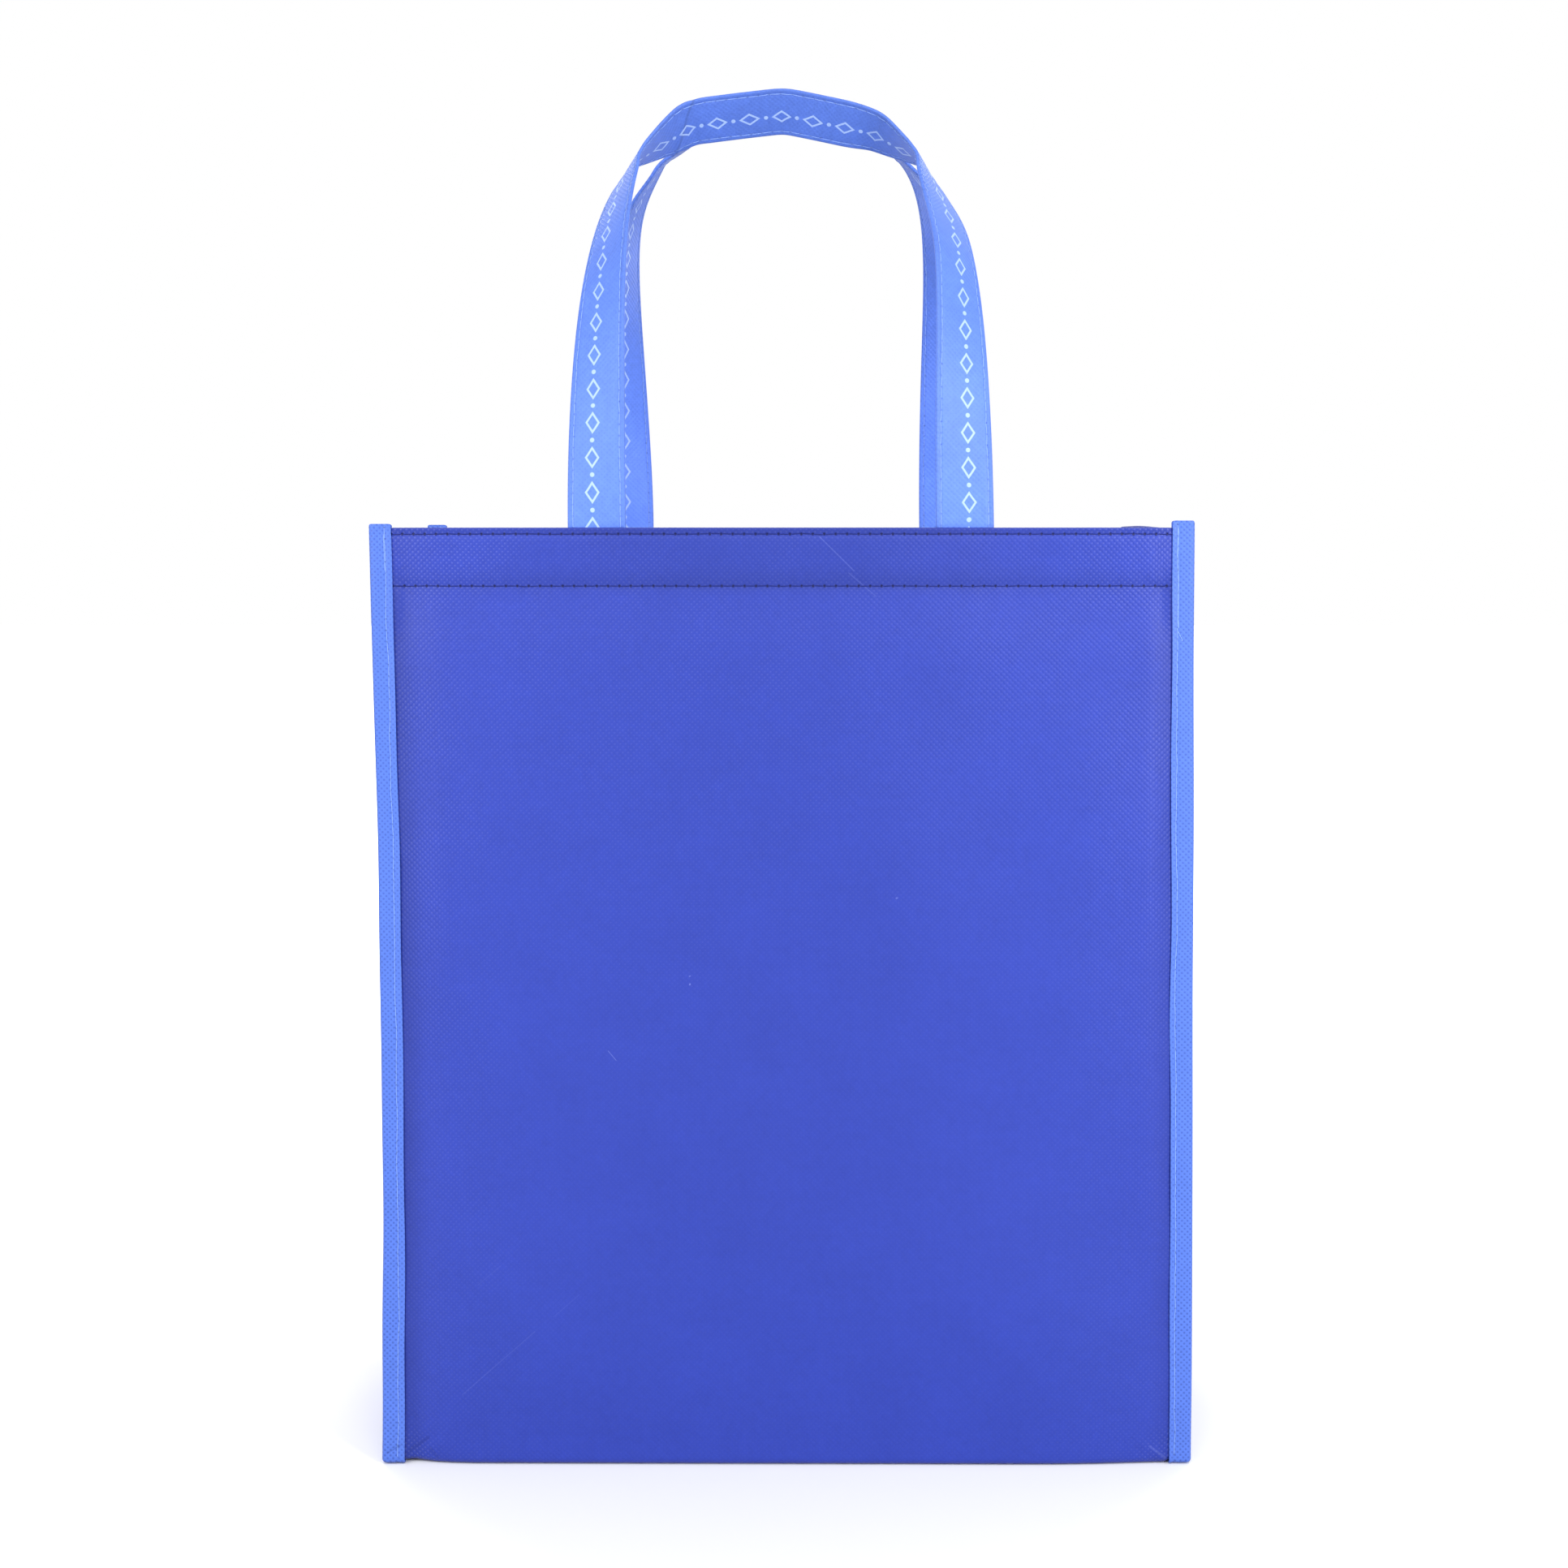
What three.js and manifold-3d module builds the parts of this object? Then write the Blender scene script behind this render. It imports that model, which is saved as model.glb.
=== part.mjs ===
// Reusable shopping bag sewn from non-woven cloth: one folded main panel, two gussets,
// taped side seams, two twisted strap handles and the rows of thread that hold them.
// Millimetres, +Z up. The front faces -Y and the origin is on the floor under the middle of the base.

import * as THREE from 'three';
import { mergeVertices } from 'three/addons/utils/BufferGeometryUtils.js';
import Module from 'manifold-3d';

// Overall sizes: over the taped edges, floor to mouth, outside of the front to outside of the back
const BAG_WIDTH = 355;
const BAG_HEIGHT = 405;
const BAG_DEPTH = 150;

// Thickness of one layer of cloth, of the edge tape, of a folded strap and of a thread
const CLOTH = 0.6;
const TAPE = 0.5;
const STRAP = 1.6;
const THREAD = 0.4;
const CLEARANCE = 0.3; // gap between layers that lie on each other

// Hem turned in at the mouth, and its two rows of stitches below the mouth
const HEM_DEPTH = 27;
const HEM_ROWS = { upper: 2.8, lower: 25 };

// Side seams: cloth turned out past the gusset, and the tape folded over it
const SEAM_ALLOWANCE = 10;
const TAPE_WIDTH = 9.8; // of each half, as seen from outside
const TAPE_ROW = 2.9; // stitch row from the tape's inner edge
const TAPE_STAND = 2.5; // tape ends above the mouth
const SEAM_LIFT = 1.8; // the base's side seams stand off the floor
const BASE_RAMP = 14; // width over which the base rises to a side seam
const BASE_FOLD = 5; // outer radius of the fold between a face and the base

// Handles: the strap, where its ends are sewn and how high it stands
const STRAP_WIDTH = 25;
const STRAP_ROW = 2.3; // stitch rows from the strap's edges
const STRAP_CROWN = 0.1; // each face stands up by this at the strap's middle
const HANDLE_TUCK = 26; // strap end sewn below the mouth
const HANDLE_SPREAD = 78.7; // from the bag's middle to the middle of each end
const HANDLE_RISE = 189; // from the mouth to the middle of the strap at its crown
const ARCH_FLAT = 34; // pull of the level crown on the arch
const LEG_TURN = THREE.MathUtils.degToRad(80); // twist up to the shoulder
const ARCH_TURN = THREE.MathUtils.degToRad(56); // and on to the crown
const ARCH_TURN_START = 0.66; // shares of half the free strap
const LEG_TURN_END = 0.74;
const ARCH_TURN_END = 0.88;

// The slack curve of each handle. Its shoulder lies inset from the strap's end, fore of the bag's middle
// plane and drop below the crown, and heads in, back and up by way. The rest are the pulls on the curve
// and the ease of the twist.
const SLACK = {
  front: {
    inset: 12.7,
    fore: 20,
    drop: 21,
    way: [0.36, -0.5, 0.79],
    legUp: 66,
    legPull: 42,
    archPull: 11,
    ease: 1.3,
  },
  back: {
    inset: 21.7,
    fore: 22,
    drop: 15,
    way: [0.8, -0.45, 0.72],
    legUp: 95,
    legPull: 50,
    archPull: 10,
    ease: 0.95,
  },
};

// Fineness of round stretches
const FOLD_STEPS = 6;
const TUCK_STEPS = 2;
const LEG_STEPS = 22;
const ARCH_STEPS = 18;
const STRAP_STEPS = 6;

// What follows from them
const HEM_THICKNESS = 2 * CLOTH + CLEARANCE;
const FLANGE_OUTER = CLOTH + CLEARANCE; // insets are counted in from the outside of the main panel
const FLANGE_INNER = FLANGE_OUTER + CLOTH;
const TAPE_OUTSIDE = -CLEARANCE - TAPE;
const TAPE_INSIDE = FLANGE_INNER + CLEARANCE + TAPE;
const TAPE_FOLD = (TAPE_INSIDE - TAPE_OUTSIDE) / 2;
const RAW_EDGE = BAG_WIDTH / 2 - TAPE_FOLD; // cloth edges inside the tape
const GUSSET_X = RAW_EDGE - SEAM_ALLOWANCE; // outside of a gusset
const HEM_START = BAG_HEIGHT - HEM_THICKNESS / 2; // where the hem begins to turn

const wasm = await Module();
wasm.setup();

// A path given by stations: a point, the way along and the way across at each.
class StationPath extends THREE.Curve {
  constructor(stations) {
    super();
    this.stations = stations;
  }

  getSpacedPoints() {
    return this.stations.map((station) => station.point);
  }

  computeFrenetFrames() {
    const tangents = this.stations.map((station) => station.along);
    const normals = this.stations.map((station) => station.across);
    const binormals = tangents.map((along, i) => new THREE.Vector3().crossVectors(along, normals[i]));
    return { tangents, normals, binormals };
  }
}

// Carries an outline of (across, along x across) points through the stations.
function sweep(outline, stations) {
  const extrudePath = new StationPath(stations);
  return new THREE.ExtrudeGeometry(new THREE.Shape(outline), { extrudePath, steps: stations.length - 1 });
}

function arc(x, y, radius, from, to) {
  const curve = new THREE.EllipseCurve(x, y, radius, radius, from, to, to < from);
  return curve.getPoints(FOLD_STEPS);
}

function points(...pairs) {
  return pairs.map(([x, y]) => new THREE.Vector2(x, y));
}

function rectangle(x0, x1, y0, y1) {
  return points([x0, y0], [x1, y0], [x1, y1], [x0, y1]);
}

function mirrored(outline, side) {
  return outline.map((point) => new THREE.Vector2(point.x * side, point.y));
}

function toSolid(geometry) {
  const bare = geometry.clone();
  bare.deleteAttribute('normal');
  bare.deleteAttribute('uv');
  const merged = mergeVertices(bare);
  const vertProperties = new Float32Array(merged.attributes.position.array);
  const triVerts = new Uint32Array(merged.index.array);
  return new wasm.Manifold(new wasm.Mesh({ numProp: 3, vertProperties, triVerts }));
}

function fromSolid(solid) {
  const mesh = solid.getMesh();
  const geometry = new THREE.BufferGeometry();
  geometry.setAttribute('position', new THREE.BufferAttribute(mesh.vertProperties, 3));
  geometry.setIndex(new THREE.BufferAttribute(mesh.triVerts, 1));
  geometry.computeVertexNormals();
  return geometry;
}

function union(geometries) {
  const solids = geometries.map(toSolid);
  return fromSolid(solids.reduce((whole, solid) => whole.add(solid)));
}

// Level stations along X, for outlines of (y, z) points.
function stationsAlongX(xs) {
  const along = new THREE.Vector3(1, 0, 0);
  const across = new THREE.Vector3(0, 1, 0);
  return xs.map((x) => ({ point: new THREE.Vector3(x, 0, 0), along, across }));
}

// Level stations along Y, for outlines of (-x, z) points.
function stationsAlongY(ys) {
  const along = new THREE.Vector3(0, 1, 0);
  const across = new THREE.Vector3(-1, 0, 0);
  return ys.map((y) => ({ point: new THREE.Vector3(0, y, 0), along, across }));
}

// The way of a side seam: down the back, along the base and up the front, for outlines of (x, inset) points.
function seamStations(top) {
  const across = new THREE.Vector3(1, 0, 0);
  const half = BAG_DEPTH / 2;
  const middle = half - BASE_FOLD;
  const level = SEAM_LIFT + BASE_FOLD;
  const corner = (y, from, to) =>
    arc(y, level, BASE_FOLD, from, to).map((point, i) => {
      const angle = THREE.MathUtils.lerp(from, to, i / FOLD_STEPS);
      return {
        point: new THREE.Vector3(0, point.x, point.y),
        along: new THREE.Vector3(0, Math.sin(angle), -Math.cos(angle)),
        across,
      };
    });
  const end = (y, along) => ({ point: new THREE.Vector3(0, y, top), along, across });
  return [
    end(half, new THREE.Vector3(0, 0, -1)),
    ...corner(middle, 0, -Math.PI / 2),
    ...corner(-middle, -Math.PI / 2, -Math.PI),
    end(-half, new THREE.Vector3(0, 0, 1)),
  ];
}

// Outline of a hem in (inset, z): the outer layer, the turn at the mouth and the layer turned in.
function hemOutline() {
  const radius = HEM_THICKNESS / 2;
  const foot = BAG_HEIGHT - HEM_DEPTH;
  return [
    ...points([0, foot]),
    ...arc(radius, HEM_START, radius, Math.PI, 0),
    ...points([HEM_THICKNESS, foot], [HEM_THICKNESS - CLOTH, foot]),
    ...arc(radius, HEM_START, CLEARANCE / 2, 0, Math.PI),
    ...points([CLOTH, foot]),
  ];
}

// Outline of the main panel in (y, z): one sheet down the front, across the base and up the back.
function panelOutline() {
  const half = BAG_DEPTH / 2;
  const middle = half - BASE_FOLD;
  const inner = BASE_FOLD - CLOTH;
  return [
    ...points([-half, HEM_START]),
    ...arc(-middle, BASE_FOLD, BASE_FOLD, Math.PI, 1.5 * Math.PI),
    ...arc(middle, BASE_FOLD, BASE_FOLD, 1.5 * Math.PI, 2 * Math.PI),
    ...points([half, HEM_START], [half - CLOTH, HEM_START]),
    ...arc(middle, BASE_FOLD, inner, 2 * Math.PI, 1.5 * Math.PI),
    ...arc(-middle, BASE_FOLD, inner, 1.5 * Math.PI, Math.PI),
    ...points([-half + CLOTH, HEM_START]),
  ];
}

// Front, base and back in one sheet. Near the sides the base rises to its seams.
function mainPanel() {
  const seamStart = GUSSET_X - CLOTH - CLEARANCE;
  const flatEnd = seamStart - BASE_RAMP;
  const hemEnd = GUSSET_X - HEM_THICKNESS - CLEARANCE;
  const sheet = sweep(
    panelOutline(),
    stationsAlongX([-RAW_EDGE, -seamStart, -flatEnd, flatEnd, seamStart, RAW_EDGE]),
  );
  const position = sheet.attributes.position;
  const raisedFrom = (seamStart + flatEnd) / 2;
  for (let i = 0; i < position.count; i += 1) {
    const raised = Math.abs(position.getX(i)) > raisedFrom;
    if (raised && position.getZ(i) < HEM_START / 2) position.setZ(i, position.getZ(i) + SEAM_LIFT);
  }
  const hem = (side) => {
    const outline = hemOutline().map((point) => new THREE.Vector2(side * (BAG_DEPTH / 2 - point.x), point.y));
    return sweep(outline, stationsAlongX([-hemEnd, hemEnd]));
  };
  return union([sheet, hem(-1), hem(1)]);
}

// Side wall with its seam allowance turned out all round and its hem.
function gusset(side) {
  const half = BAG_DEPTH / 2 - FLANGE_OUTER;
  const foot = SEAM_LIFT + FLANGE_OUTER;
  const radius = BASE_FOLD - FLANGE_OUTER;
  const web = [
    ...points([-half, HEM_START]),
    ...arc(radius - half, foot + radius, radius, Math.PI, 1.5 * Math.PI),
    ...arc(half - radius, foot + radius, radius, 1.5 * Math.PI, 2 * Math.PI),
    ...points([half, HEM_START]),
  ];
  const webEdges = [side * GUSSET_X, side * (GUSSET_X - CLOTH)].sort((a, b) => a - b);
  const flange = mirrored(rectangle(GUSSET_X - CLOTH, RAW_EDGE, FLANGE_OUTER, FLANGE_INNER), side);
  const hem = hemOutline().map((point) => new THREE.Vector2(-side * (GUSSET_X - point.x), point.y));
  const hemEnd = BAG_DEPTH / 2 - HEM_THICKNESS - CLEARANCE;
  return union([
    sweep(web, stationsAlongX(webEdges)),
    sweep(flange, seamStations(HEM_START)),
    sweep(hem, stationsAlongY([-hemEnd, hemEnd])),
  ]);
}

// Tape folded over the raw edges of a side seam.
function binding(side) {
  const innerEdge = BAG_WIDTH / 2 - TAPE_WIDTH;
  const middle = (TAPE_INSIDE + TAPE_OUTSIDE) / 2;
  const outline = [
    ...points([innerEdge, TAPE_OUTSIDE]),
    ...arc(RAW_EDGE, middle, TAPE_FOLD, -Math.PI / 2, Math.PI / 2),
    ...points([innerEdge, TAPE_INSIDE], [innerEdge, TAPE_INSIDE - TAPE]),
    ...arc(RAW_EDGE, middle, TAPE_FOLD - TAPE, Math.PI / 2, -Math.PI / 2),
    ...points([innerEdge, TAPE_OUTSIDE + TAPE]),
  ];
  return sweep(mirrored(outline, side), seamStations(BAG_HEIGHT + TAPE_STAND));
}

function bindingThread(side) {
  const x = BAG_WIDTH / 2 - TAPE_WIDTH + TAPE_ROW;
  const inset = TAPE_OUTSIDE - CLEARANCE;
  const outline = rectangle(x - THREAD / 2, x + THREAD / 2, inset - THREAD, inset);
  return sweep(mirrored(outline, side), seamStations(BAG_HEIGHT));
}

// Stations of a handle from its left end to its right end, with the sewn ends' TUCK_STEPS first and last.
// Each half is an upright leg and an arch that meet at the shoulder, twisting as it goes up.
function handleStations(face) {
  const out = face === 'front' ? -1 : 1;
  const slack = SLACK[face];
  const footFore = BAG_DEPTH / 2 - HEM_THICKNESS - CLEARANCE - STRAP / 2;
  const crownTurn = LEG_TURN + ARCH_TURN;
  const edgeFore = (STRAP_WIDTH * Math.sin(crownTurn) + STRAP * Math.abs(Math.cos(crownTurn))) / 2;
  const crownFore = edgeFore + CLEARANCE;
  const foot = new THREE.Vector3(-HANDLE_SPREAD, footFore, BAG_HEIGHT);
  const crown = new THREE.Vector3(0, crownFore, BAG_HEIGHT + HANDLE_RISE);
  const top = new THREE.Vector3(slack.inset - HANDLE_SPREAD, slack.fore, crown.z - slack.drop);
  const up = new THREE.Vector3(0, 0, slack.legUp);
  const way = new THREE.Vector3(...slack.way).normalize();
  const level = new THREE.Vector3(-ARCH_FLAT, 0, 0);
  const leg = new THREE.CubicBezierCurve3(
    foot,
    foot.clone().add(up),
    top.clone().addScaledVector(way, -slack.legPull),
    top,
  );
  const arch = new THREE.CubicBezierCurve3(
    top,
    top.clone().addScaledVector(way, slack.archPull),
    crown.clone().add(level),
    crown,
  );
  const route = [];
  for (let i = 0; i < TUCK_STEPS; i += 1) {
    const below = HANDLE_TUCK * (1 - i / TUCK_STEPS);
    const point = foot.clone().setZ(BAG_HEIGHT - below);
    route.push({ point, along: new THREE.Vector3(0, 0, 1), run: 0 });
  }
  const legLength = leg.getLength();
  const halfLength = legLength + arch.getLength();
  for (let i = 0; i < LEG_STEPS; i += 1) {
    const share = i / LEG_STEPS;
    route.push({ point: leg.getPointAt(share), along: leg.getTangentAt(share), run: share * legLength });
  }
  for (let i = 0; i <= ARCH_STEPS; i += 1) {
    const share = i / ARCH_STEPS;
    const run = legLength + share * (halfLength - legLength);
    route.push({ point: arch.getPointAt(share), along: arch.getTangentAt(share), run });
  }
  const half = route.map(({ point, along, run }) => {
    const share = run / halfLength;
    const legTurn = LEG_TURN * Math.min(1, share / LEG_TURN_END) ** slack.ease;
    const turn = legTurn + ARCH_TURN * THREE.MathUtils.smoothstep(share, ARCH_TURN_START, ARCH_TURN_END);
    const across = new THREE.Vector3(along.z, 0, -along.x).normalize().multiplyScalar(Math.cos(turn));
    across.y = Math.sin(turn);
    across.addScaledVector(along, -across.dot(along)).normalize();
    return { point, along, across };
  });
  const toFace = (v) => new THREE.Vector3(v.x, v.y * out, v.z);
  const left = half.map(({ point, along, across }) => ({
    point: toFace(point),
    along: toFace(along),
    across: toFace(across),
  }));
  const right = left.slice(0, -1).reverse();
  return [
    ...left,
    ...right.map(({ point, along, across }) => ({
      point: new THREE.Vector3(-point.x, point.y, point.z),
      along: new THREE.Vector3(along.x, -along.y, -along.z),
      across: new THREE.Vector3(-across.x, across.y, across.z),
    })),
  ];
}

// Outline of the strap: flat, with both faces a little crowned.
function strapOutline() {
  const lower = [];
  for (let i = 0; i <= STRAP_STEPS; i += 1) {
    const share = (2 * i) / STRAP_STEPS - 1;
    const crown = STRAP_CROWN * share ** 2;
    lower.push([(share * STRAP_WIDTH) / 2, crown - STRAP / 2]);
  }
  const upper = lower.map(([x, y]) => [x, -y]).reverse();
  return points(...lower, ...upper);
}

function handle(face) {
  return sweep(strapOutline(), handleStations(face));
}

// A row of thread on the outside of a handle, near its inner or outer edge, above the mouth.
function handleThread(face, edge) {
  const out = face === 'front' ? -1 : 1;
  const x = (edge === 'inner' ? 1 : -1) * (STRAP_WIDTH / 2 - STRAP_ROW);
  const y = out * (STRAP / 2 + CLEARANCE + THREAD / 2);
  const outline = rectangle(x - THREAD / 2, x + THREAD / 2, y - THREAD / 2, y + THREAD / 2);
  const free = handleStations(face).slice(TUCK_STEPS + 1, -TUCK_STEPS - 1);
  return sweep(outline, free);
}

const panelCloth = { color: 0x4c5ed0, roughness: 0.85, metalness: 0 };
const trimCloth = { color: 0x7fa6f8, roughness: 0.8, metalness: 0 };
const hemThread = { color: 0x232f86, roughness: 0.6, metalness: 0 };
const trimThread = { color: 0xaebff8, roughness: 0.6, metalness: 0 };

const bag = new THREE.Group();

function addPiece(name, geometry, finish) {
  const mesh = new THREE.Mesh(geometry, new THREE.MeshStandardMaterial(finish));
  mesh.name = name;
  bag.add(mesh);
  return mesh;
}

addPiece('main_panel', mainPanel(), panelCloth);

for (const [word, side] of [['left', -1], ['right', 1]]) {
  addPiece(`${word}_gusset`, gusset(side), panelCloth);
  addPiece(`${word}_binding`, binding(side), trimCloth);
  addPiece(`${word}_binding_thread`, bindingThread(side), trimThread);
  const length = BAG_DEPTH - 2 * (TAPE_INSIDE + CLEARANCE);
  for (const [row, drop] of Object.entries(HEM_ROWS)) {
    const bar = new THREE.BoxGeometry(THREAD, length, THREAD);
    const thread = addPiece(`${word}_gusset_thread_${row}`, bar, hemThread);
    thread.position.set(side * (GUSSET_X + CLEARANCE + THREAD / 2), 0, BAG_HEIGHT - drop);
  }
}

for (const [face, out] of [['front', -1], ['back', 1]]) {
  addPiece(`${face}_handle`, handle(face), trimCloth);
  for (const edge of ['inner', 'outer']) {
    addPiece(`${face}_handle_thread_${edge}`, handleThread(face, edge), trimThread);
  }
  const length = BAG_WIDTH - 2 * (TAPE_WIDTH + CLEARANCE);
  for (const [row, drop] of Object.entries(HEM_ROWS)) {
    const bar = new THREE.BoxGeometry(length, THREAD, THREAD);
    const thread = addPiece(`${face}_hem_thread_${row}`, bar, hemThread);
    thread.position.set(0, out * (BAG_DEPTH / 2 + CLEARANCE + THREAD / 2), BAG_HEIGHT - drop);
  }
}

export default bag;
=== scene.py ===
# Sewn carrier bag of embossed non-woven cloth: a folded main panel, two gussets, taped side seams,
# two twisted strap handles and every row of stitches. Shapes are worked out in millimetres.
import math

import bpy
import numpy as np
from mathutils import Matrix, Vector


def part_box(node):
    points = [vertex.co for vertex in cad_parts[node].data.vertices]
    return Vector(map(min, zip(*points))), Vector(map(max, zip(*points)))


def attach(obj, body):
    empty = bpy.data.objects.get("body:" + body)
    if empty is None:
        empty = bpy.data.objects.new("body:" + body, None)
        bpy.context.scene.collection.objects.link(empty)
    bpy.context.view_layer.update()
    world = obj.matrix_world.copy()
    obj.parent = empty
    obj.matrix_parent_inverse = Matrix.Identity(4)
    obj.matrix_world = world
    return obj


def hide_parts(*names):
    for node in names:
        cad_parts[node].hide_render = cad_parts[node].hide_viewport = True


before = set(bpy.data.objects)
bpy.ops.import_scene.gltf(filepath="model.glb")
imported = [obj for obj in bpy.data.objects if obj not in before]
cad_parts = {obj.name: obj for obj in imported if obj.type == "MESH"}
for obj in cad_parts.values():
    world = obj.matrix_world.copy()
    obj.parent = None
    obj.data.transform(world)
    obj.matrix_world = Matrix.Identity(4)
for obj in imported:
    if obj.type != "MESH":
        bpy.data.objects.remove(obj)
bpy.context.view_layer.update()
mm = 0.001
print("frame loaded with", len(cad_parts), "nodes")


# Low and high corner of a node's box, in mm
def boxOf(node):
    return [np.array(corner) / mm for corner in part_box(node)]


# Half the sum of the two corners
def middleOf(node):
    return sum(boxOf(node)) / 2


panelHigh = boxOf("main_panel")[1]
gussetLow = boxOf("right_gusset")[0]
tapeLow, tapeHigh = boxOf("right_binding")
hands = {-1: "left", 1: "right"}
outWays = {"front": -1, "back": 1}

# Sizes of the sewn bag, read from the frame
bag = {
    "rawEdge": panelHigh[0],  # cloth edges inside the tape
    "halfDepth": panelHigh[1],
    "mouth": panelHigh[2],
    "tapeInner": tapeLow[0],
    "tapeEdge": tapeHigh[0],
    "hemLayers": 1.5,  # outside of the wall to the inside of its hem
    "flange": 1.5,  # outside of the wall to the far side of the gusset's seam allowance
    "tapeOut": 0.8,  # the tape stands off the wall by this
    "tapeIn": 2.3,
    "tapeLift": 0.2,  # the tapes under the base just clear the floor
    "layerGap": 0.3,
    "foldRadius": 3.0,  # between a wall and the base
    "cloth": 0.5,
    "tape": 0.45,
}
bag["gussetX"] = gussetLow[0] + bag["hemLayers"]
bag["seamLift"] = bag["tapeOut"] + bag["tapeLift"]


# 0 before start, 1 after end, 3t^2 - 2t^3 between them
def ease(value, start, end):
    t = np.clip((value - start) / (end - start), 0, 1)
    return t * t * (3 - 2 * t)


# A bell of height 1: e to the minus square of value over width
def bell(value, width):
    return np.exp(-((value / width) ** 2))


# How the bag stands: a little narrower than cut, and leaning to its right
stance = {
    "narrowTop": 0.0030,
    "narrowFoot": 0.0130,
    "lean": 0.006,
    "level": 190.0,
    "handleLean": 0.006,
    "bow": 2.1,  # the left side bows in at half its height
    "toe": {-1: 1.5, 1: -0.9},  # the foot of each front seam stands forward by this
    "toeReach": 45.0,
    "toeInside": 30.0,  # from the gusset
    "sideRise": 1.6,  # the top of the right gusset is higher by this
    "sideReach": (-74.0, -18.0, 26.0, 70.0),  # from front to back
    "sideInside": (30.0, 15.0),
    "sideDepth": 20.0,
}


# x is scaled by a share that falls with height, then shifted in step with height; the left side bows in by a
# sine of the height, the front seams' feet move forward, and the top of the right gusset rises in its middle
def stand(points):
    x, y, z = np.moveaxis(points, -1, 0)
    mouth, web = bag["mouth"], bag["gussetX"]
    up = np.clip(z / mouth, 0, 1)
    narrow = stance["narrowFoot"] + (stance["narrowTop"] - stance["narrowFoot"]) * up
    lean = stance["lean"] * (z - stance["level"]) + stance["handleLean"] * np.maximum(z - mouth, 0)
    bow = stance["bow"] * np.sin(np.pi * up) * np.clip(-x / bag["tapeEdge"], 0, 1)
    toe = np.where(x < 0, stance["toe"][-1], stance["toe"][1]) * (1 - ease(z, 0, stance["toeReach"]))
    toe = toe * ease(np.abs(x), web - stance["toeInside"], bag["tapeEdge"]) * ease(-y, 0, bag["halfDepth"])
    start, full, past, end = stance["sideReach"]
    far, near = stance["sideInside"]
    rise = stance["sideRise"] * ease(y, start, full) * (1 - ease(y, past, end))
    rise = rise * ease(x, web - far, web - near) * ease(z, mouth - stance["sideDepth"], mouth)
    return np.stack([x * (1 - narrow) - lean + bow, y - toe, z + rise], -1)


# Uneven field: a sum of cosine waves of random heading and phase round one wavelength, unit spread
def uneven(x, y, seed, span, waves=10):
    rng = np.random.default_rng(seed)
    heading = rng.uniform(0, 2 * np.pi, waves)
    phase = rng.uniform(0, 2 * np.pi, waves)
    number = 2 * np.pi / (span * rng.uniform(0.7, 1.7, waves))
    along = np.multiply.outer(x, np.cos(heading)) + np.multiply.outer(y, np.sin(heading))
    return np.cos(number * along + phase).sum(-1) * math.sqrt(2 / waves)


# Values that step through the stops, with a count of equal steps between each two
def ladder(stops, counts):
    runs = [np.linspace(a, b, n, endpoint=False) for a, b, n in zip(stops[:-1], stops[1:], counts)]
    return np.concatenate(runs + [stops[-1:]])


# Vectors divided by their own length
def unit(vectors):
    return vectors / np.linalg.norm(vectors, axis=-1, keepdims=True)


# Quads of a grid of rows and columns, as corner numbers; closed joins the last column to the first
def gridFaces(index, closed=False):
    if closed:
        index = np.concatenate([index, index[:, :1]], 1)
    return np.stack([index[:-1, :-1], index[1:, :-1], index[1:, 1:], index[:-1, 1:]], -1).reshape(-1, 4)


# The same corners' numbers on a map that repeats the first column at its end
def onMap(corners, columns):
    return (corners // columns) * (columns + 1) + corners % columns


# Distance run from the start of a row of points
def runAlong(*values):
    steps = np.sqrt(sum(np.diff(value) ** 2 for value in values))
    return np.concatenate([[0], np.cumsum(steps)])


# Sum of the signed volumes from the origin to each face, six times over
def signedVolume(points, quads):
    a, b, c, d = (points[quads[:, i]] for i in range(4))
    return (np.cross(a, b) * c).sum() + (np.cross(a, c) * d).sum()


# A mesh object from points in mm, a list of face arrays and maps given for each face corner
def makePiece(name, points, faceSets, maps, material):
    mesh = bpy.data.meshes.new(name)
    faces = [face for faceSet in faceSets for face in faceSet.tolist()]
    mesh.from_pydata((stand(points) * mm).tolist(), [], faces)
    for mapName, corners in maps.items():
        layer = mesh.uv_layers.new(name=mapName)
        layer.data.foreach_set("uv", (corners * mm).astype(np.float32).ravel())
    mesh.polygons.foreach_set("use_smooth", np.ones(len(mesh.polygons), bool))
    mesh.materials.append(material)
    mesh.update()
    piece = bpy.data.objects.new(name, mesh)
    bpy.context.scene.collection.objects.link(piece)
    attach(piece, "root")
    return piece


# Gives a cloth its thickness, on the side that faces into the bag
def thicken(piece, thickness):
    solid = piece.modifiers.new("thickness", "SOLIDIFY")
    solid.thickness = thickness * mm
    solid.offset = -1
    solid.use_rim = True


# Camera, placed from the corners of the bag in the photograph
cameraLook = {
    "place": (5.75, -1007.6, 391.1),
    "pitchDown": 1.6,
    "yaw": 0.354,
    "lens": 50.0,
    "sensor": 36.0,
    "shift": -0.1040,
}


def makeCamera():
    data = bpy.data.cameras.new("camera")
    data.lens = cameraLook["lens"]
    data.sensor_width = cameraLook["sensor"]
    data.shift_y = cameraLook["shift"]
    camera = bpy.data.objects.new("camera", data)
    camera.location = np.array(cameraLook["place"]) * mm
    camera.rotation_euler = (math.radians(90 - cameraLook["pitchDown"]), 0, math.radians(cameraLook["yaw"]))
    bpy.context.scene.collection.objects.link(camera)
    bpy.context.scene.camera = camera


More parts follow.
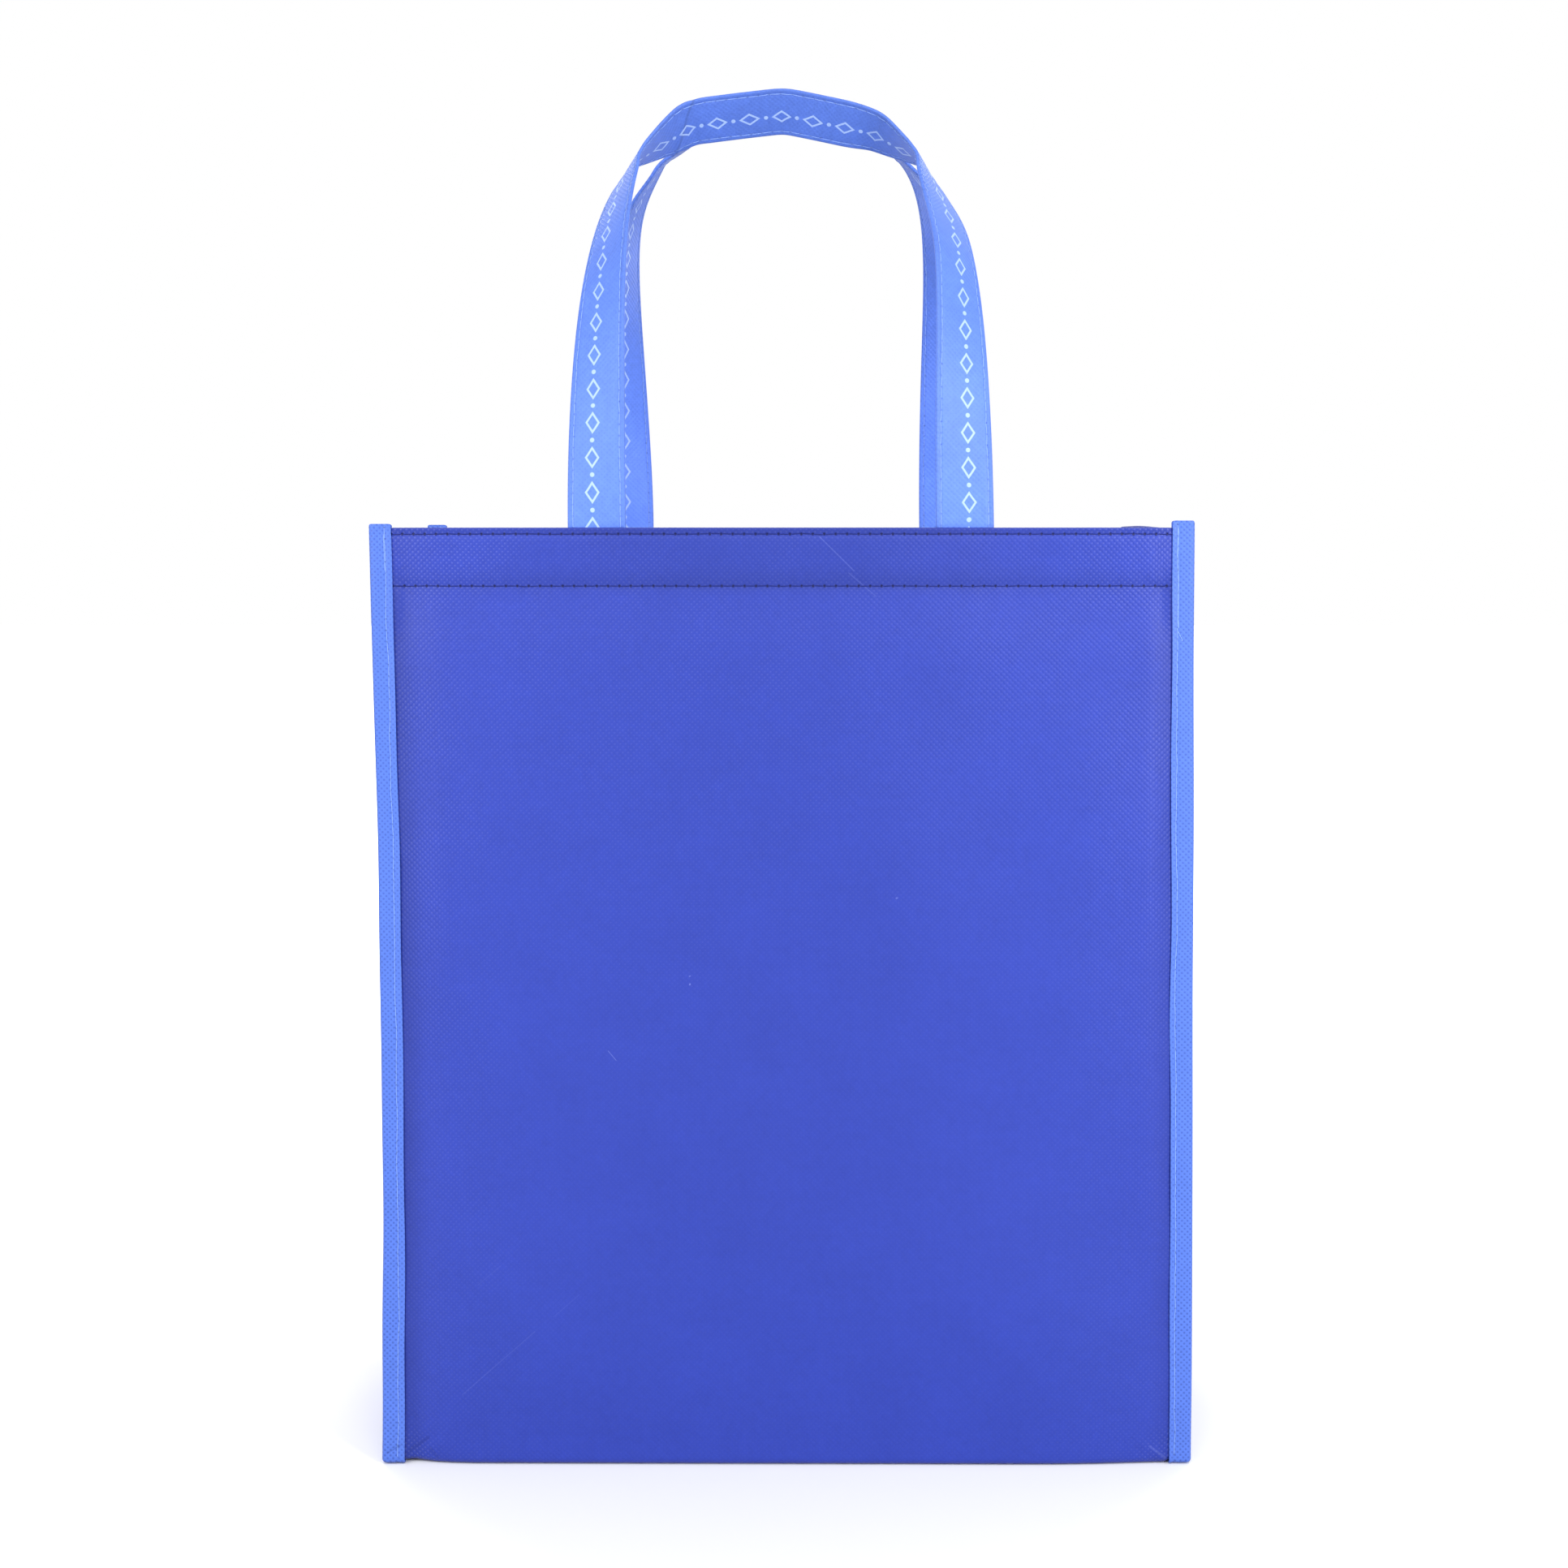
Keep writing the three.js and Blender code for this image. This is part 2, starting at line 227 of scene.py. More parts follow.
# Small helpers for shader nodes: a socket or a plain number goes into each input
def put(tree, socket, value):
    if isinstance(value, bpy.types.NodeSocket):
        tree.links.new(value, socket)
    else:
        socket.default_value = value


def calc(tree, operation, first, second=0.0, third=0.0):
    node = tree.nodes.new("ShaderNodeMath")
    node.operation = operation
    for socket, value in zip(node.inputs, (first, second, third)):
        put(tree, socket, value)
    return node.outputs[0]


# A length or a dot product comes out as "Value"
def vectorCalc(tree, operation, first, second=(0.0, 0.0, 0.0), result="Vector"):
    node = tree.nodes.new("ShaderNodeVectorMath")
    node.operation = operation
    put(tree, node.inputs[0], first)
    put(tree, node.inputs[1], second)
    return node.outputs[result]


# A vector times a factor
def scaled(tree, vector, factor):
    node = tree.nodes.new("ShaderNodeVectorMath")
    node.operation = "SCALE"
    put(tree, node.inputs[0], vector)
    put(tree, node.inputs["Scale"], factor)
    return node.outputs["Vector"]


# All the values multiplied
def product(tree, first, *others):
    for other in others:
        first = calc(tree, "MULTIPLY", first, other)
    return first


# Root of the sum of two squares
def distance(tree, first, second):
    squares = [calc(tree, "POWER", value, 2.0) for value in (first, second)]
    return calc(tree, "SQRT", calc(tree, "ADD", *squares))


# toLow up to low, toHigh from high on, and a smooth step between
def fade(tree, value, low, high, toLow=0.0, toHigh=1.0):
    node = tree.nodes.new("ShaderNodeMapRange")
    node.interpolation_type = "SMOOTHSTEP"
    for socket, number in zip(node.inputs[:5], (value, low, high, toLow, toHigh)):
        put(tree, socket, number)
    return node.outputs[0]


def noise(tree, vector, scale, detail=3.0, roughness=0.55, distortion=0.0):
    node = tree.nodes.new("ShaderNodeTexNoise")
    put(tree, node.inputs["Vector"], vector)
    node.inputs["Scale"].default_value = scale
    node.inputs["Detail"].default_value = detail
    node.inputs["Roughness"].default_value = roughness
    node.inputs["Distortion"].default_value = distortion
    return node.outputs


# first + share x (second - first)
def mixedValue(tree, share, first, second):
    return calc(tree, "MULTIPLY_ADD", share, calc(tree, "SUBTRACT", second, first), first)


# The same for two colours
def mixedColour(tree, share, first, second):
    node = tree.nodes.new("ShaderNodeMix")
    node.data_type = "RGBA"
    put(tree, node.inputs["Factor"], share)
    put(tree, node.inputs[6], first)
    put(tree, node.inputs[7], second)
    return node.outputs[2]


# A map's coordinates, or the place in the frame, in mm
def mapInMm(tree, name):
    node = tree.nodes.new("ShaderNodeUVMap")
    node.uv_map = name
    return scaled(tree, node.outputs["UV"], 1 / mm)


def placeInMm(tree):
    return scaled(tree, tree.nodes.new("ShaderNodeTexCoord").outputs["Object"], 1 / mm)


def split(tree, vector):
    node = tree.nodes.new("ShaderNodeSeparateXYZ")
    put(tree, node.inputs[0], vector)
    return tuple(node.outputs)


# One value in all three places, to multiply a colour by
def evenVector(tree, value):
    node = tree.nodes.new("ShaderNodeCombineXYZ")
    for socket in node.inputs:
        put(tree, socket, value)
    return node.outputs[0]


# Relief in mm on a shader's normal
def bumped(tree, shader, height):
    bump = tree.nodes.new("ShaderNodeBump")
    bump.inputs["Distance"].default_value = mm
    tree.links.new(height, bump.inputs["Height"])
    tree.links.new(bump.outputs["Normal"], shader.inputs["Normal"])


def newMaterial(name):
    material = bpy.data.materials.new(name)
    material.use_nodes = True
    tree = material.node_tree
    return material, tree, tree.nodes["Principled BSDF"]


# The cloth's embossing and finish, in mm; a noise has its scale, detail, roughness and distortion
cloth = {
    "pitchAcross": 2.42,  # of the bonded dots
    "pitchAlong": 2.38,
    "drift": 0.9,  # the lattice wanders by this
    "driftNoise": (0.05, 2.0),
    "patchNoise": (0.04, 3.0, 0.6),
    "patch": (0.25, 0.7, 0.6, 1.15),  # from noise to crispness
    "fibreNoise": (1.5, 4.0, 0.65, 1.2),
    "fibreDepth": 0.03,
    "fibreShade": 0.22,
    "fibreRough": 0.2,
    "mottleNoises": ((0.035, 5.0, 0.6), (0.3, 3.0, 0.6)),
    "dotRough": -0.10,
    "holeDepth": 0.25,
    "holeEdge": (0.55, 1.5),  # in radii
    "specular": 0.3,
    "sheen": 0.06,
    "sheenRoughness": 0.45,
}

# Pairs are for embossing that is pressed flat and for crisp embossing
looks = {
    "panel": {
        "emboss": (0.035, 0.068),
        "base": (0.0274, 0.0530, 0.405),
        # On the panel the dots' paler colour is a painted glint off the glossier bonded dots
        "dot": (0.065, 0.093, 0.440),
        "dotShare": (0.12, 0.80),
        "dotEdge": (-0.25, -0.85),
        "mottle": 0.10,
        "roughness": 0.45,
        "hole": (0.004, 0.007, 0.07),
        "holeRadius": 0.58,
        "holeShare": 0.95,
    },
    "tape": {
        "emboss": (0.04, 0.06),
        "base": (0.091, 0.189, 0.69),
        "dot": (0.038, 0.086, 0.42),
        "dotShare": (0.48, 0.72),
        "dotEdge": (-0.05, -0.80),
        "mottle": 0.08,
        "roughness": 0.45,
        "hole": (0.03, 0.07, 0.36),
        "holeRadius": 0.26,
        "holeShare": 0.7,
    },
    "strap": {
        "emboss": (0.05, 0.05),
        "base": (0.125, 0.245, 0.83),
        "dot": (0.085, 0.180, 0.72),
        "dotShare": (0.35, 0.35),
        "dotEdge": (-0.25, -0.85),
        "mottle": 0.15,
        "roughness": 0.48,
        "hole": (0.05, 0.10, 0.50),
        "holeRadius": 0.28,
        "holeShare": 0.75,
    },
}

# One stitch length serves every row, for the needle holes and the thread
stitch = {"length": 4.9}

# Printed band on the straps: open lozenges and dots in turn, a plain pattern
motif = {
    "pitch": 15.0,
    "centre": -1.8,
    "halfLong": 4.7,
    "halfWide": 3.2,
    "lineStart": 0.72,
    "lineSoft": 0.06,
    "dotRadius": 1.0,
    "dotSoft": 0.15,
    "share": 0.85,
    "colour": (0.46, 0.63, 1.0, 1),
}

# Marks on the front: scuffs and lint as lines in (x, z), with half a width and how pale the cloth goes, and a
# painted highlight on a crease. Below zero the share is how dark, as painted shade in the creases at the
# foot.
marks = {
    "front": (-30.0, -20.0, 1.0, 0.0),  # fades out behind the front wall
    "edge": (0.3, 1.5),  # in half widths
    "pale": (0.34, 0.42, 0.88, 1),
    "dark": (0.010, 0.020, 0.16, 1),
    "panel": [
        {"start": (-138.7, 31.2), "end": (-107.1, 59.6), "half": 0.24, "share": 0.055},
        {"start": (-131.5, 79.6), "end": (-122.1, 87.7), "half": 0.24, "share": 0.035},
        {"start": (-99.0, 66.0), "end": (-88.0, 75.5), "half": 0.24, "share": 0.030},
        {"start": (15.1, 401.1), "end": (29.8, 386.6), "half": 0.24, "share": 0.10},
        {"start": (27.6, 385.6), "end": (39.4, 375.6), "half": 0.24, "share": 0.08},
        {"start": (-75.2, 181.2), "end": (-71.8, 177.2), "half": 0.18, "share": 0.20},
        {"start": (48.0, 246.8), "end": (48.3, 246.9), "half": 0.38, "share": 0.22},
        {"start": (-40.4, 213.4), "end": (-40.0, 213.5), "half": 0.26, "share": 0.26},
        {"start": (-40.2, 209.8), "end": (-40.1, 210.1), "half": 0.30, "share": 0.36},
        # Painted highlight on the ridge of the crease at the right foot
        {"start": (165.1, 2.7), "end": (158.1, 8.0), "half": 0.50, "share": 0.09},
        # Painted shade in the creases at the left foot
        {"start": (-163.8, 4.1), "end": (-153.9, 11.7), "half": 0.80, "share": -0.28},
        {"start": (-153.1, 6.8), "end": (-149.8, 3.0), "half": 0.60, "share": -0.22},
    ],
    "tape": [
        # Painted shade in the crease where the tape turns under the base
        {"start": (-171.6, 4.9), "end": (-166.2, 8.1), "half": 0.32, "share": -0.30},
    ],
}


# Lozenge line where |along|/a + |across|/b lies between lineStart and 1, and a round dot half a pitch on
def motifMask(tree, across, along):
    half, line, radius = motif["pitch"] / 2, motif["lineStart"], motif["dotRadius"]
    off = calc(tree, "SUBTRACT", across, motif["centre"])
    turn = calc(tree, "ABSOLUTE", calc(tree, "WRAP", along, half, -half))
    wide = calc(tree, "DIVIDE", calc(tree, "ABSOLUTE", off), motif["halfWide"])
    lozenge = calc(tree, "ADD", wide, calc(tree, "DIVIDE", turn, motif["halfLong"]))
    inside = fade(tree, lozenge, 1.0, 1.0 + motif["lineSoft"], 1.0, 0.0)
    ring = product(tree, inside, fade(tree, lozenge, line - motif["lineSoft"], line))
    away = distance(tree, off, calc(tree, "SUBTRACT", half, turn))
    dot = fade(tree, away, radius - motif["dotSoft"], radius + motif["dotSoft"], 1.0, 0.0)
    return calc(tree, "MAXIMUM", ring, dot)


# The colour with the marks on the front: the distance to the nearest point of each line, faded over its
# half width
def withMarks(tree, colour, lines):
    place = placeInMm(tree)
    front = fade(tree, split(tree, place)[1], *marks["front"])
    spot = vectorCalc(tree, "MULTIPLY", place, (1.0, 0.0, 1.0))
    solid, gone = marks["edge"]
    for line in lines:
        start, end = (np.array([x, 0.0, z]) for x, z in (line["start"], line["end"]))
        length = float(np.linalg.norm(end - start))
        heading = ((end - start) / length).tolist()
        fromStart = vectorCalc(tree, "SUBTRACT", spot, start.tolist())
        along = vectorCalc(tree, "DOT_PRODUCT", fromStart, heading, "Value")
        reach = calc(tree, "MINIMUM", calc(tree, "MAXIMUM", along, 0.0), length)
        nearest = scaled(tree, heading, reach)
        aside = vectorCalc(tree, "SUBTRACT", fromStart, nearest)
        away = vectorCalc(tree, "LENGTH", aside, result="Value")
        half, share = line["half"], line["share"]
        mask = fade(tree, away, half * solid, half * gone, abs(share), 0.0)
        mark = marks["pale"] if share > 0 else marks["dark"]
        colour = mixedColour(tree, product(tree, mask, front), colour, mark)
    return colour


# Where the embossing is crisp, as (start, end, crispness at the start, at the end), in mm; on the panel the
# crispness also sets how much of the dots' painted glint shows
crispZones = {
    "beside": (6.0, 80.0, 1.0, 0.0),  # from the seams
    "besideDrop": (90.0, 340.0, 1.0, 0.42),  # below the mouth
    "below": (10.0, 280.0, 0.8, 0.0),
    "corner": (4.0, 24.0, 1.5, 0.0),  # from the corners of the base
    "hem": (8.0, 110.0, 1.6, 0.0),
    "hemDrop": (20.0, 60.0, 1.0, 0.0),
    "tapeHeight": (60.0, 340.0, 1.0, 0.4),
    "tapeAside": (1.8, 4.0, 0.25, 1.0),  # from the tape's inner edge
}

# Where shade and light are painted on the cloth's colour, in the same way
paintedShadingZones = {
    "foldLeft": (-1.0, 13.0, 0.76, 1.0),
    "foldRight": (-1.0, 11.0, 0.86, 1.0),
    "foldBelow": (-8.0, 22.0, 0.3, 1.0),  # from the hem's lower row
    "hem": (0.0, 3.0, 0.92, 1.0),
    "rim": (2.0, 3.6, 0.86, 1.0),  # below the mouth
    "lowerRow": (0.0, 9.0, 0.90, 1.0),
    "hemEnds": (8.0, 120.0, 1.13, 1.0),
    "hemOnly": (0.0, 3.0, 1.0, 0.0),
    "middle": (30.0, 150.0, 1.0, 0.94),
    "middleDrop": (260.0, 380.0, 1.0, 0.0),
    "strapEdge": (9.0, 12.5, 1.0, 0.88),
    "arch": (555.0, 595.0, 1.0, 0.88),  # height
    "behind": (0.0, 30.0, 0.0, 1.0),  # the back strap only
    "backLegs": (420.0, 530.0, 1.3, 1.0),
}
rowShade = 2.0  # the shade of the lower row lies this far above it


# Distances on the panel's seam map: to the left seam, to the right one and below the mouth
def panelPlace(tree):
    across, drop, _ = split(tree, mapInMm(tree, "seam"))
    return across, calc(tree, "SUBTRACT", 2 * bag["tapeInner"], across), drop


# How crisp the panel's embossing is, and so how much of the dots' painted glint shows: most beside the seams
# and under the mouth, least low in the middle
def panelCrispAndGlint(tree):
    toLeft, toRight, drop = panelPlace(tree)
    toSeam = calc(tree, "MINIMUM", toLeft, toRight)
    zones = {name: fade(tree, toSeam, *crispZones[name]) for name in ("beside", "hem")}
    beside = product(tree, zones["beside"], fade(tree, drop, *crispZones["besideDrop"]))
    inHem = product(tree, zones["hem"], fade(tree, drop, *crispZones["hemDrop"]))
    below = fade(tree, drop, *crispZones["below"])
    toCorner = distance(tree, toSeam, calc(tree, "SUBTRACT", bag["mouth"], drop))
    corner = fade(tree, toCorner, *crispZones["corner"])
    return calc(tree, "MAXIMUM", calc(tree, "MAXIMUM", beside, below), calc(tree, "MAXIMUM", corner, inHem))


# Painted shade and light on the panel: darker in the fold beside each seam, on the doubled hem, above its
# upper row, beside its lower row and in the pressed middle, lighter at the hem's ends
def panelPaintedShading(tree):
    toLeft, toRight, drop = panelPlace(tree)
    toSeam = calc(tree, "MINIMUM", toLeft, toRight)
    fromRow = calc(tree, "SUBTRACT", drop, hem["rows"]["lower"])
    foldLeft = fade(tree, toLeft, *paintedShadingZones["foldLeft"])
    fold = product(tree, foldLeft, fade(tree, toRight, *paintedShadingZones["foldRight"]))
    fold = mixedValue(tree, fade(tree, fromRow, *paintedShadingZones["foldBelow"]), 1.0, fold)
    double = product(tree, fade(tree, fromRow, *paintedShadingZones["hem"]), fade(tree, drop, *paintedShadingZones["rim"]))
    toRow = calc(tree, "ABSOLUTE", calc(tree, "ADD", fromRow, rowShade))
    double = product(tree, double, fade(tree, toRow, *paintedShadingZones["lowerRow"]))
    ends = fade(tree, toSeam, *paintedShadingZones["hemEnds"])
    ends = mixedValue(tree, fade(tree, fromRow, *paintedShadingZones["hemOnly"]), 1.0, ends)
    middle = fade(tree, toSeam, *paintedShadingZones["middle"])
    middle = mixedValue(tree, fade(tree, drop, *paintedShadingZones["middleDrop"]), 1.0, middle)
    return product(tree, fold, double, ends, middle)


# The tape's embossing is crisper towards its foot, and pressed flat between the stitches and its inner edge
def tapeCrisp(tree):
    height = split(tree, placeInMm(tree))[2]
    aside = split(tree, mapInMm(tree, "seam"))[1]
    low = fade(tree, height, *crispZones["tapeHeight"])
    return product(tree, low, fade(tree, aside, *crispZones["tapeAside"]))


# The crease at the straps' left shoulder: its place along the strap, slant, depth, half width and painted
# shade
strapFold = {"at": 208.3, "slant": 0.6, "depth": 0.4, "width": 1.5, "shade": (0.2, 1.1, 0.78, 1.0)}


# Painted shade and light on the strap: darker at its folded edges, on the arch and in the crease at the
# shoulder, and lighter low on the back legs
def strapPaintedShading(tree):
    run, aside, _ = split(tree, mapInMm(tree, "seam"))
    _, back, height = split(tree, placeInMm(tree))
    edge = fade(tree, calc(tree, "ABSOLUTE", aside), *paintedShadingZones["strapEdge"])
    arch = fade(tree, height, *paintedShadingZones["arch"])
    legs = fade(tree, height, *paintedShadingZones["backLegs"])
    legs = mixedValue(tree, fade(tree, back, *paintedShadingZones["behind"]), 1.0, legs)
    square = calc(tree, "MULTIPLY_ADD", aside, -strapFold["slant"], run)
    away = calc(tree, "ABSOLUTE", calc(tree, "SUBTRACT", square, strapFold["at"]))
    crease = fade(tree, away, *strapFold["shade"])
    return product(tree, edge, arch, crease, legs)


# Embossed cloth. The height is cos(across) x cos(along), so the bonded dots sit on a staggered lattice;
# fibres and mottling are noises, and needle holes lie at each stitch length along the seam rows.
def clothMaterial(name, look, rows, crispness=None, paintedShading=None, printed=False, lines=()):
    material, tree, shader = newMaterial(name)
    place = mapInMm(tree, "cloth")
    drift = vectorCalc(tree, "SUBTRACT", noise(tree, place, *cloth["driftNoise"])["Color"], (0.5, 0.5, 0.5))
    across, along, _ = split(tree, vectorCalc(tree, "ADD", place, scaled(tree, drift, cloth["drift"])))
    warp = calc(tree, "COSINE", product(tree, across, 2 * math.pi / cloth["pitchAcross"]))
    weft = calc(tree, "COSINE", product(tree, along, 2 * math.pi / cloth["pitchAlong"]))
    height = product(tree, warp, weft)
    dots = fade(tree, height, *look["dotEdge"])
    crisp = crispness(tree) if crispness else 1.0
    patch = noise(tree, place, *cloth["patchNoise"])["Fac"]
    crisp = product(tree, crisp, fade(tree, patch, *cloth["patch"]))
    emboss, dotShare = (calc(tree, "MULTIPLY_ADD", crisp, sharp - flat, flat)
                        for flat, sharp in (look["emboss"], look["dotShare"]))

    fibre = calc(tree, "SUBTRACT", noise(tree, place, *cloth["fibreNoise"])["Fac"], 0.5)
    broad, fine = (noise(tree, place, *values)["Fac"] for values in cloth["mottleNoises"])
    mottle = calc(tree, "SUBTRACT", calc(tree, "ADD", broad, fine), 1.0)
    shade = calc(tree, "MULTIPLY_ADD", mottle, look["mottle"] * 2, 1.0)
    shade = calc(tree, "MULTIPLY_ADD", fibre, cloth["fibreShade"], shade)
    # Painted shade and light, where a piece has them, multiply the colour here
    if paintedShading:
        shade = product(tree, shade, paintedShading(tree))
    colour = mixedColour(tree, product(tree, dots, dotShare), (*look["base"], 1), (*look["dot"], 1))
    colour = vectorCalc(tree, "MULTIPLY", colour, evenVector(tree, shade))
    if printed:
        mask = product(tree, motifMask(tree, across, along), motif["share"])
        colour = mixedColour(tree, mask, colour, motif["colour"])
    if lines:
        colour = withMarks(tree, colour, lines)

    run, off, _ = split(tree, mapInMm(tree, "seam"))
    step = calc(tree, "WRAP", run, stitch["length"] / 2, -stitch["length"] / 2)
    solid, gone = (look["holeRadius"] * edge for edge in cloth["holeEdge"])
    holes = 0.0
    for row in rows:
        away = distance(tree, calc(tree, "SUBTRACT", off, row), step)
        holes = calc(tree, "MAXIMUM", holes, fade(tree, away, solid, gone, 1.0, 0.0))
    colour = mixedColour(tree, product(tree, holes, look["holeShare"]), colour, (*look["hole"], 1))
    tree.links.new(colour, shader.inputs["Base Color"])

    rough = calc(tree, "MULTIPLY_ADD", dots, cloth["dotRough"], look["roughness"])
    rough = calc(tree, "MULTIPLY_ADD", fibre, cloth["fibreRough"], rough)
    tree.links.new(rough, shader.inputs["Roughness"])
    shader.inputs["Specular IOR Level"].default_value = cloth["specular"]
    shader.inputs["Sheen Weight"].default_value = cloth["sheen"]
    shader.inputs["Sheen Roughness"].default_value = cloth["sheenRoughness"]

    relief = product(tree, height, emboss)
    relief = calc(tree, "MULTIPLY_ADD", fibre, cloth["fibreDepth"], relief)
    bumped(tree, shader, calc(tree, "MULTIPLY_ADD", holes, -cloth["holeDepth"], relief))
    return material


# Sewing thread: colours of its painted shade in the valleys and painted highlight on the crowns of its twist,
# and how it is spun
threadLooks = {
    "hem": {"base": (0.008, 0.014, 0.13), "high": (0.020, 0.034, 0.25), "roughness": 0.6},
    "trim": {"base": (0.22, 0.37, 0.86), "high": (0.36, 0.53, 0.96), "roughness": 0.48},
}
spin = {"length": 0.7, "plies": 2.0, "depth": 0.03, "specular": 0.25}


# Spun thread: a helix of plies, with a painted highlight on the crowns of the twist and painted shade in its
# valleys
def threadMaterial(name, look):
    material, tree, shader = newMaterial(name)
    along, around, _ = split(tree, mapInMm(tree, "thread"))
    turn = product(tree, around, spin["plies"])
    turn = calc(tree, "ADD", calc(tree, "DIVIDE", along, spin["length"]), turn)
    ply = calc(tree, "SINE", product(tree, turn, 2 * math.pi))
    crown = calc(tree, "MULTIPLY_ADD", ply, 0.5, 0.5)
    colour = mixedColour(tree, crown, (*look["base"], 1), (*look["high"], 1))
    tree.links.new(colour, shader.inputs["Base Color"])
    shader.inputs["Roughness"].default_value = look["roughness"]
    shader.inputs["Specular IOR Level"].default_value = spin["specular"]
    bumped(tree, shader, product(tree, ply, spin["depth"]))
    return material


# The hem: its rows as drops below the mouth, the grooves that they lie in, and how it leans
hem = {
    "depth": 27.0,
    "rows": {
        "upper": bag["mouth"] - middleOf("front_hem_thread_upper")[2],
        "lower": bag["mouth"] - middleOf("front_hem_thread_lower")[2],
    },
    "groove": {"upper": 0.55, "lower": 0.42},
    "grooveWidth": {"upper": 1.6, "lower": 2.2},
    "pucker": 0.10,
    "puckerSpan": 8.0,
    "puckerWidth": 6.0,
    "puckerSkew": 0.4,
    "step": 0.16,  # over the edge of the layer inside
    "stepEdge": (-1.5, 2.0),
    "lean": 2.0,
    "leanPower": 1.7,
    "recover": 30.0,
    "innerStops": (26.6, 21.0, 6.0),  # drops where the mesh changes its pace
    "outerStops": (6.0, 21.0, 29.0),
}
tapeRow = middleOf("right_binding_thread")[0] - bag["tapeInner"]
strap = {
    "width": 25.0,
    "thick": 1.6,
    "row": 2.3,  # from the edge
    "rowHalf": 0.6,
    "edge": 0.75,
    "groove": 0.17,
    "grooveWidth": 0.45,
    "pillow": 0.12,
    "pillowEdge": 2.0,  # the mesh is finer this near to the rows
    "margin": 0.5,  # hem stitches clear a tucked end by this
    "lastStep": 1.0,  # the least between a row's last two holes
    "sharpAngle": 60.0,
}
strapRow = strap["width"] / 2 - strap["row"]

panelCloth = clothMaterial("panelCloth", looks["panel"], list(hem["rows"].values()), panelCrispAndGlint, panelPaintedShading,
                           lines=marks["panel"])
tapeCloth = clothMaterial("tapeCloth", looks["tape"], [tapeRow], tapeCrisp, lines=marks["tape"])
strapCloth = clothMaterial("strapCloth", looks["strap"], [-strapRow, strapRow], paintedShading=strapPaintedShading,
                           printed=True)
hemThread = threadMaterial("hemThread", threadLooks["hem"])
trimThread = threadMaterial("trimThread", threadLooks["trim"])
print("materials ready")

# The front and back walls
wall = {
    "rise": {-1: 3.2, 1: 2.2},  # beside each tape the cloth comes forward by this, up to a soft crease
    "riseWidth": {-1: 18.0, 1: 9.0},
    "riseCorner": 9.0,  # more is a sharper crease
    "riseUp": (-20.0, 70.0),  # heights from nothing to all of it
    "belly": 4.0,  # the middle stands out by this much more
    "bellyUp": (0.0, 110.0),
    "held": 0.5,  # of both is held back at the mouth
    "heldUp": 250.0,
    "foot": 1.7,  # the middle of the foot stands out by this
    "footInside": 2.0,
    "footReach": {-1: 24.0, 1: 60.0},
    "footUp": (10.0, 120.0),
    "uneven": 0.42,
    "unevenSpan": 105.0,
    "unevenUp": (4.0, 60.0),
    "bare": (-1.0, 5.0),  # from the tape
    "pinch": {-1: 1.1, 1: 0.2},  # pulled in at the corners of the base, in two facets
    "pinchWidth": 9.0,
    "pinchReach": (12.0, 34.0),
    "crease": {-1: -0.55, 1: 0.40},  # which meet in a valley on the left and in a ridge on the right
    "creaseWidth": {-1: 2.8, 1: 1.5},
    "creaseSlope": {-1: 45.0, 1: 37.0},
    "creaseStart": (1.0, 5.0),
    "creaseReach": (8.0, 24.0),
    "footStop": 25.0,  # the mesh is finer below this height
    "seamStop": 25.0,  # and this near to the tapes
    "blend": 90.0,  # the left side's settings pass into the right side's over this to each side
    "seeds": {-1: 11, 1: 23},
}


# How far a wall stands out: a straight rise beside each tape that ends in a soft upright crease, and a broad
# belly, which die away at the base and partly at the mouth, then broad unevenness, two facets that meet in a
# crease at each corner of the base, and the pull of the hem's stitches
def wallOut(x, z, way):
    seed = wall["seeds"][way]
    inside = bag["tapeInner"] - np.abs(x)
    toRight = ease(x, -wall["blend"], wall["blend"])
    rise, width, pinch, footReach, crease, creaseWidth, slope = (
        wall[key][-1] + (wall[key][1] - wall[key][-1]) * toRight
        for key in ("rise", "riseWidth", "pinch", "footReach", "crease", "creaseWidth", "creaseSlope"))
    sharp = wall["riseCorner"]
    free = 1 - np.log1p(np.exp(sharp * (1 - np.clip(inside / width, 0, 3)))) / np.log1p(np.exp(sharp))
    belly = np.clip(1 - (x / bag["tapeInner"]) ** 2, 0, 1)
    out = rise * free * ease(z, *wall["riseUp"]) + wall["belly"] * belly * ease(z, *wall["bellyUp"])
    out = out * (1 - wall["held"] * ease(z, wall["heldUp"], bag["mouth"]))
    out = out + wall["foot"] * ease(inside, wall["footInside"], footReach) * (1 - ease(z, *wall["footUp"]))
    waves = uneven(x, z, seed, wall["unevenSpan"])
    out = out + wall["uneven"] * free * ease(z, *wall["unevenUp"]) * waves
    bare = ease(inside, *wall["bare"])
    corner = 1 - ease(np.maximum(inside, z), *wall["pinchReach"])
    out = out - pinch * bare * corner * (1 - ease(np.minimum(inside, z), 0, wall["pinchWidth"]))
    cosine, sine = np.cos(np.radians(slope)), np.sin(np.radians(slope))
    along, aside = inside * cosine + z * sine, z * cosine - inside * sine
    reach = ease(along, *wall["creaseStart"]) * (1 - ease(along, *wall["creaseReach"]))
    out = out + crease * bare * bell(aside, creaseWidth) * reach
    return out + bare * hemRelief(x, bag["mouth"] - z, seed + 1)


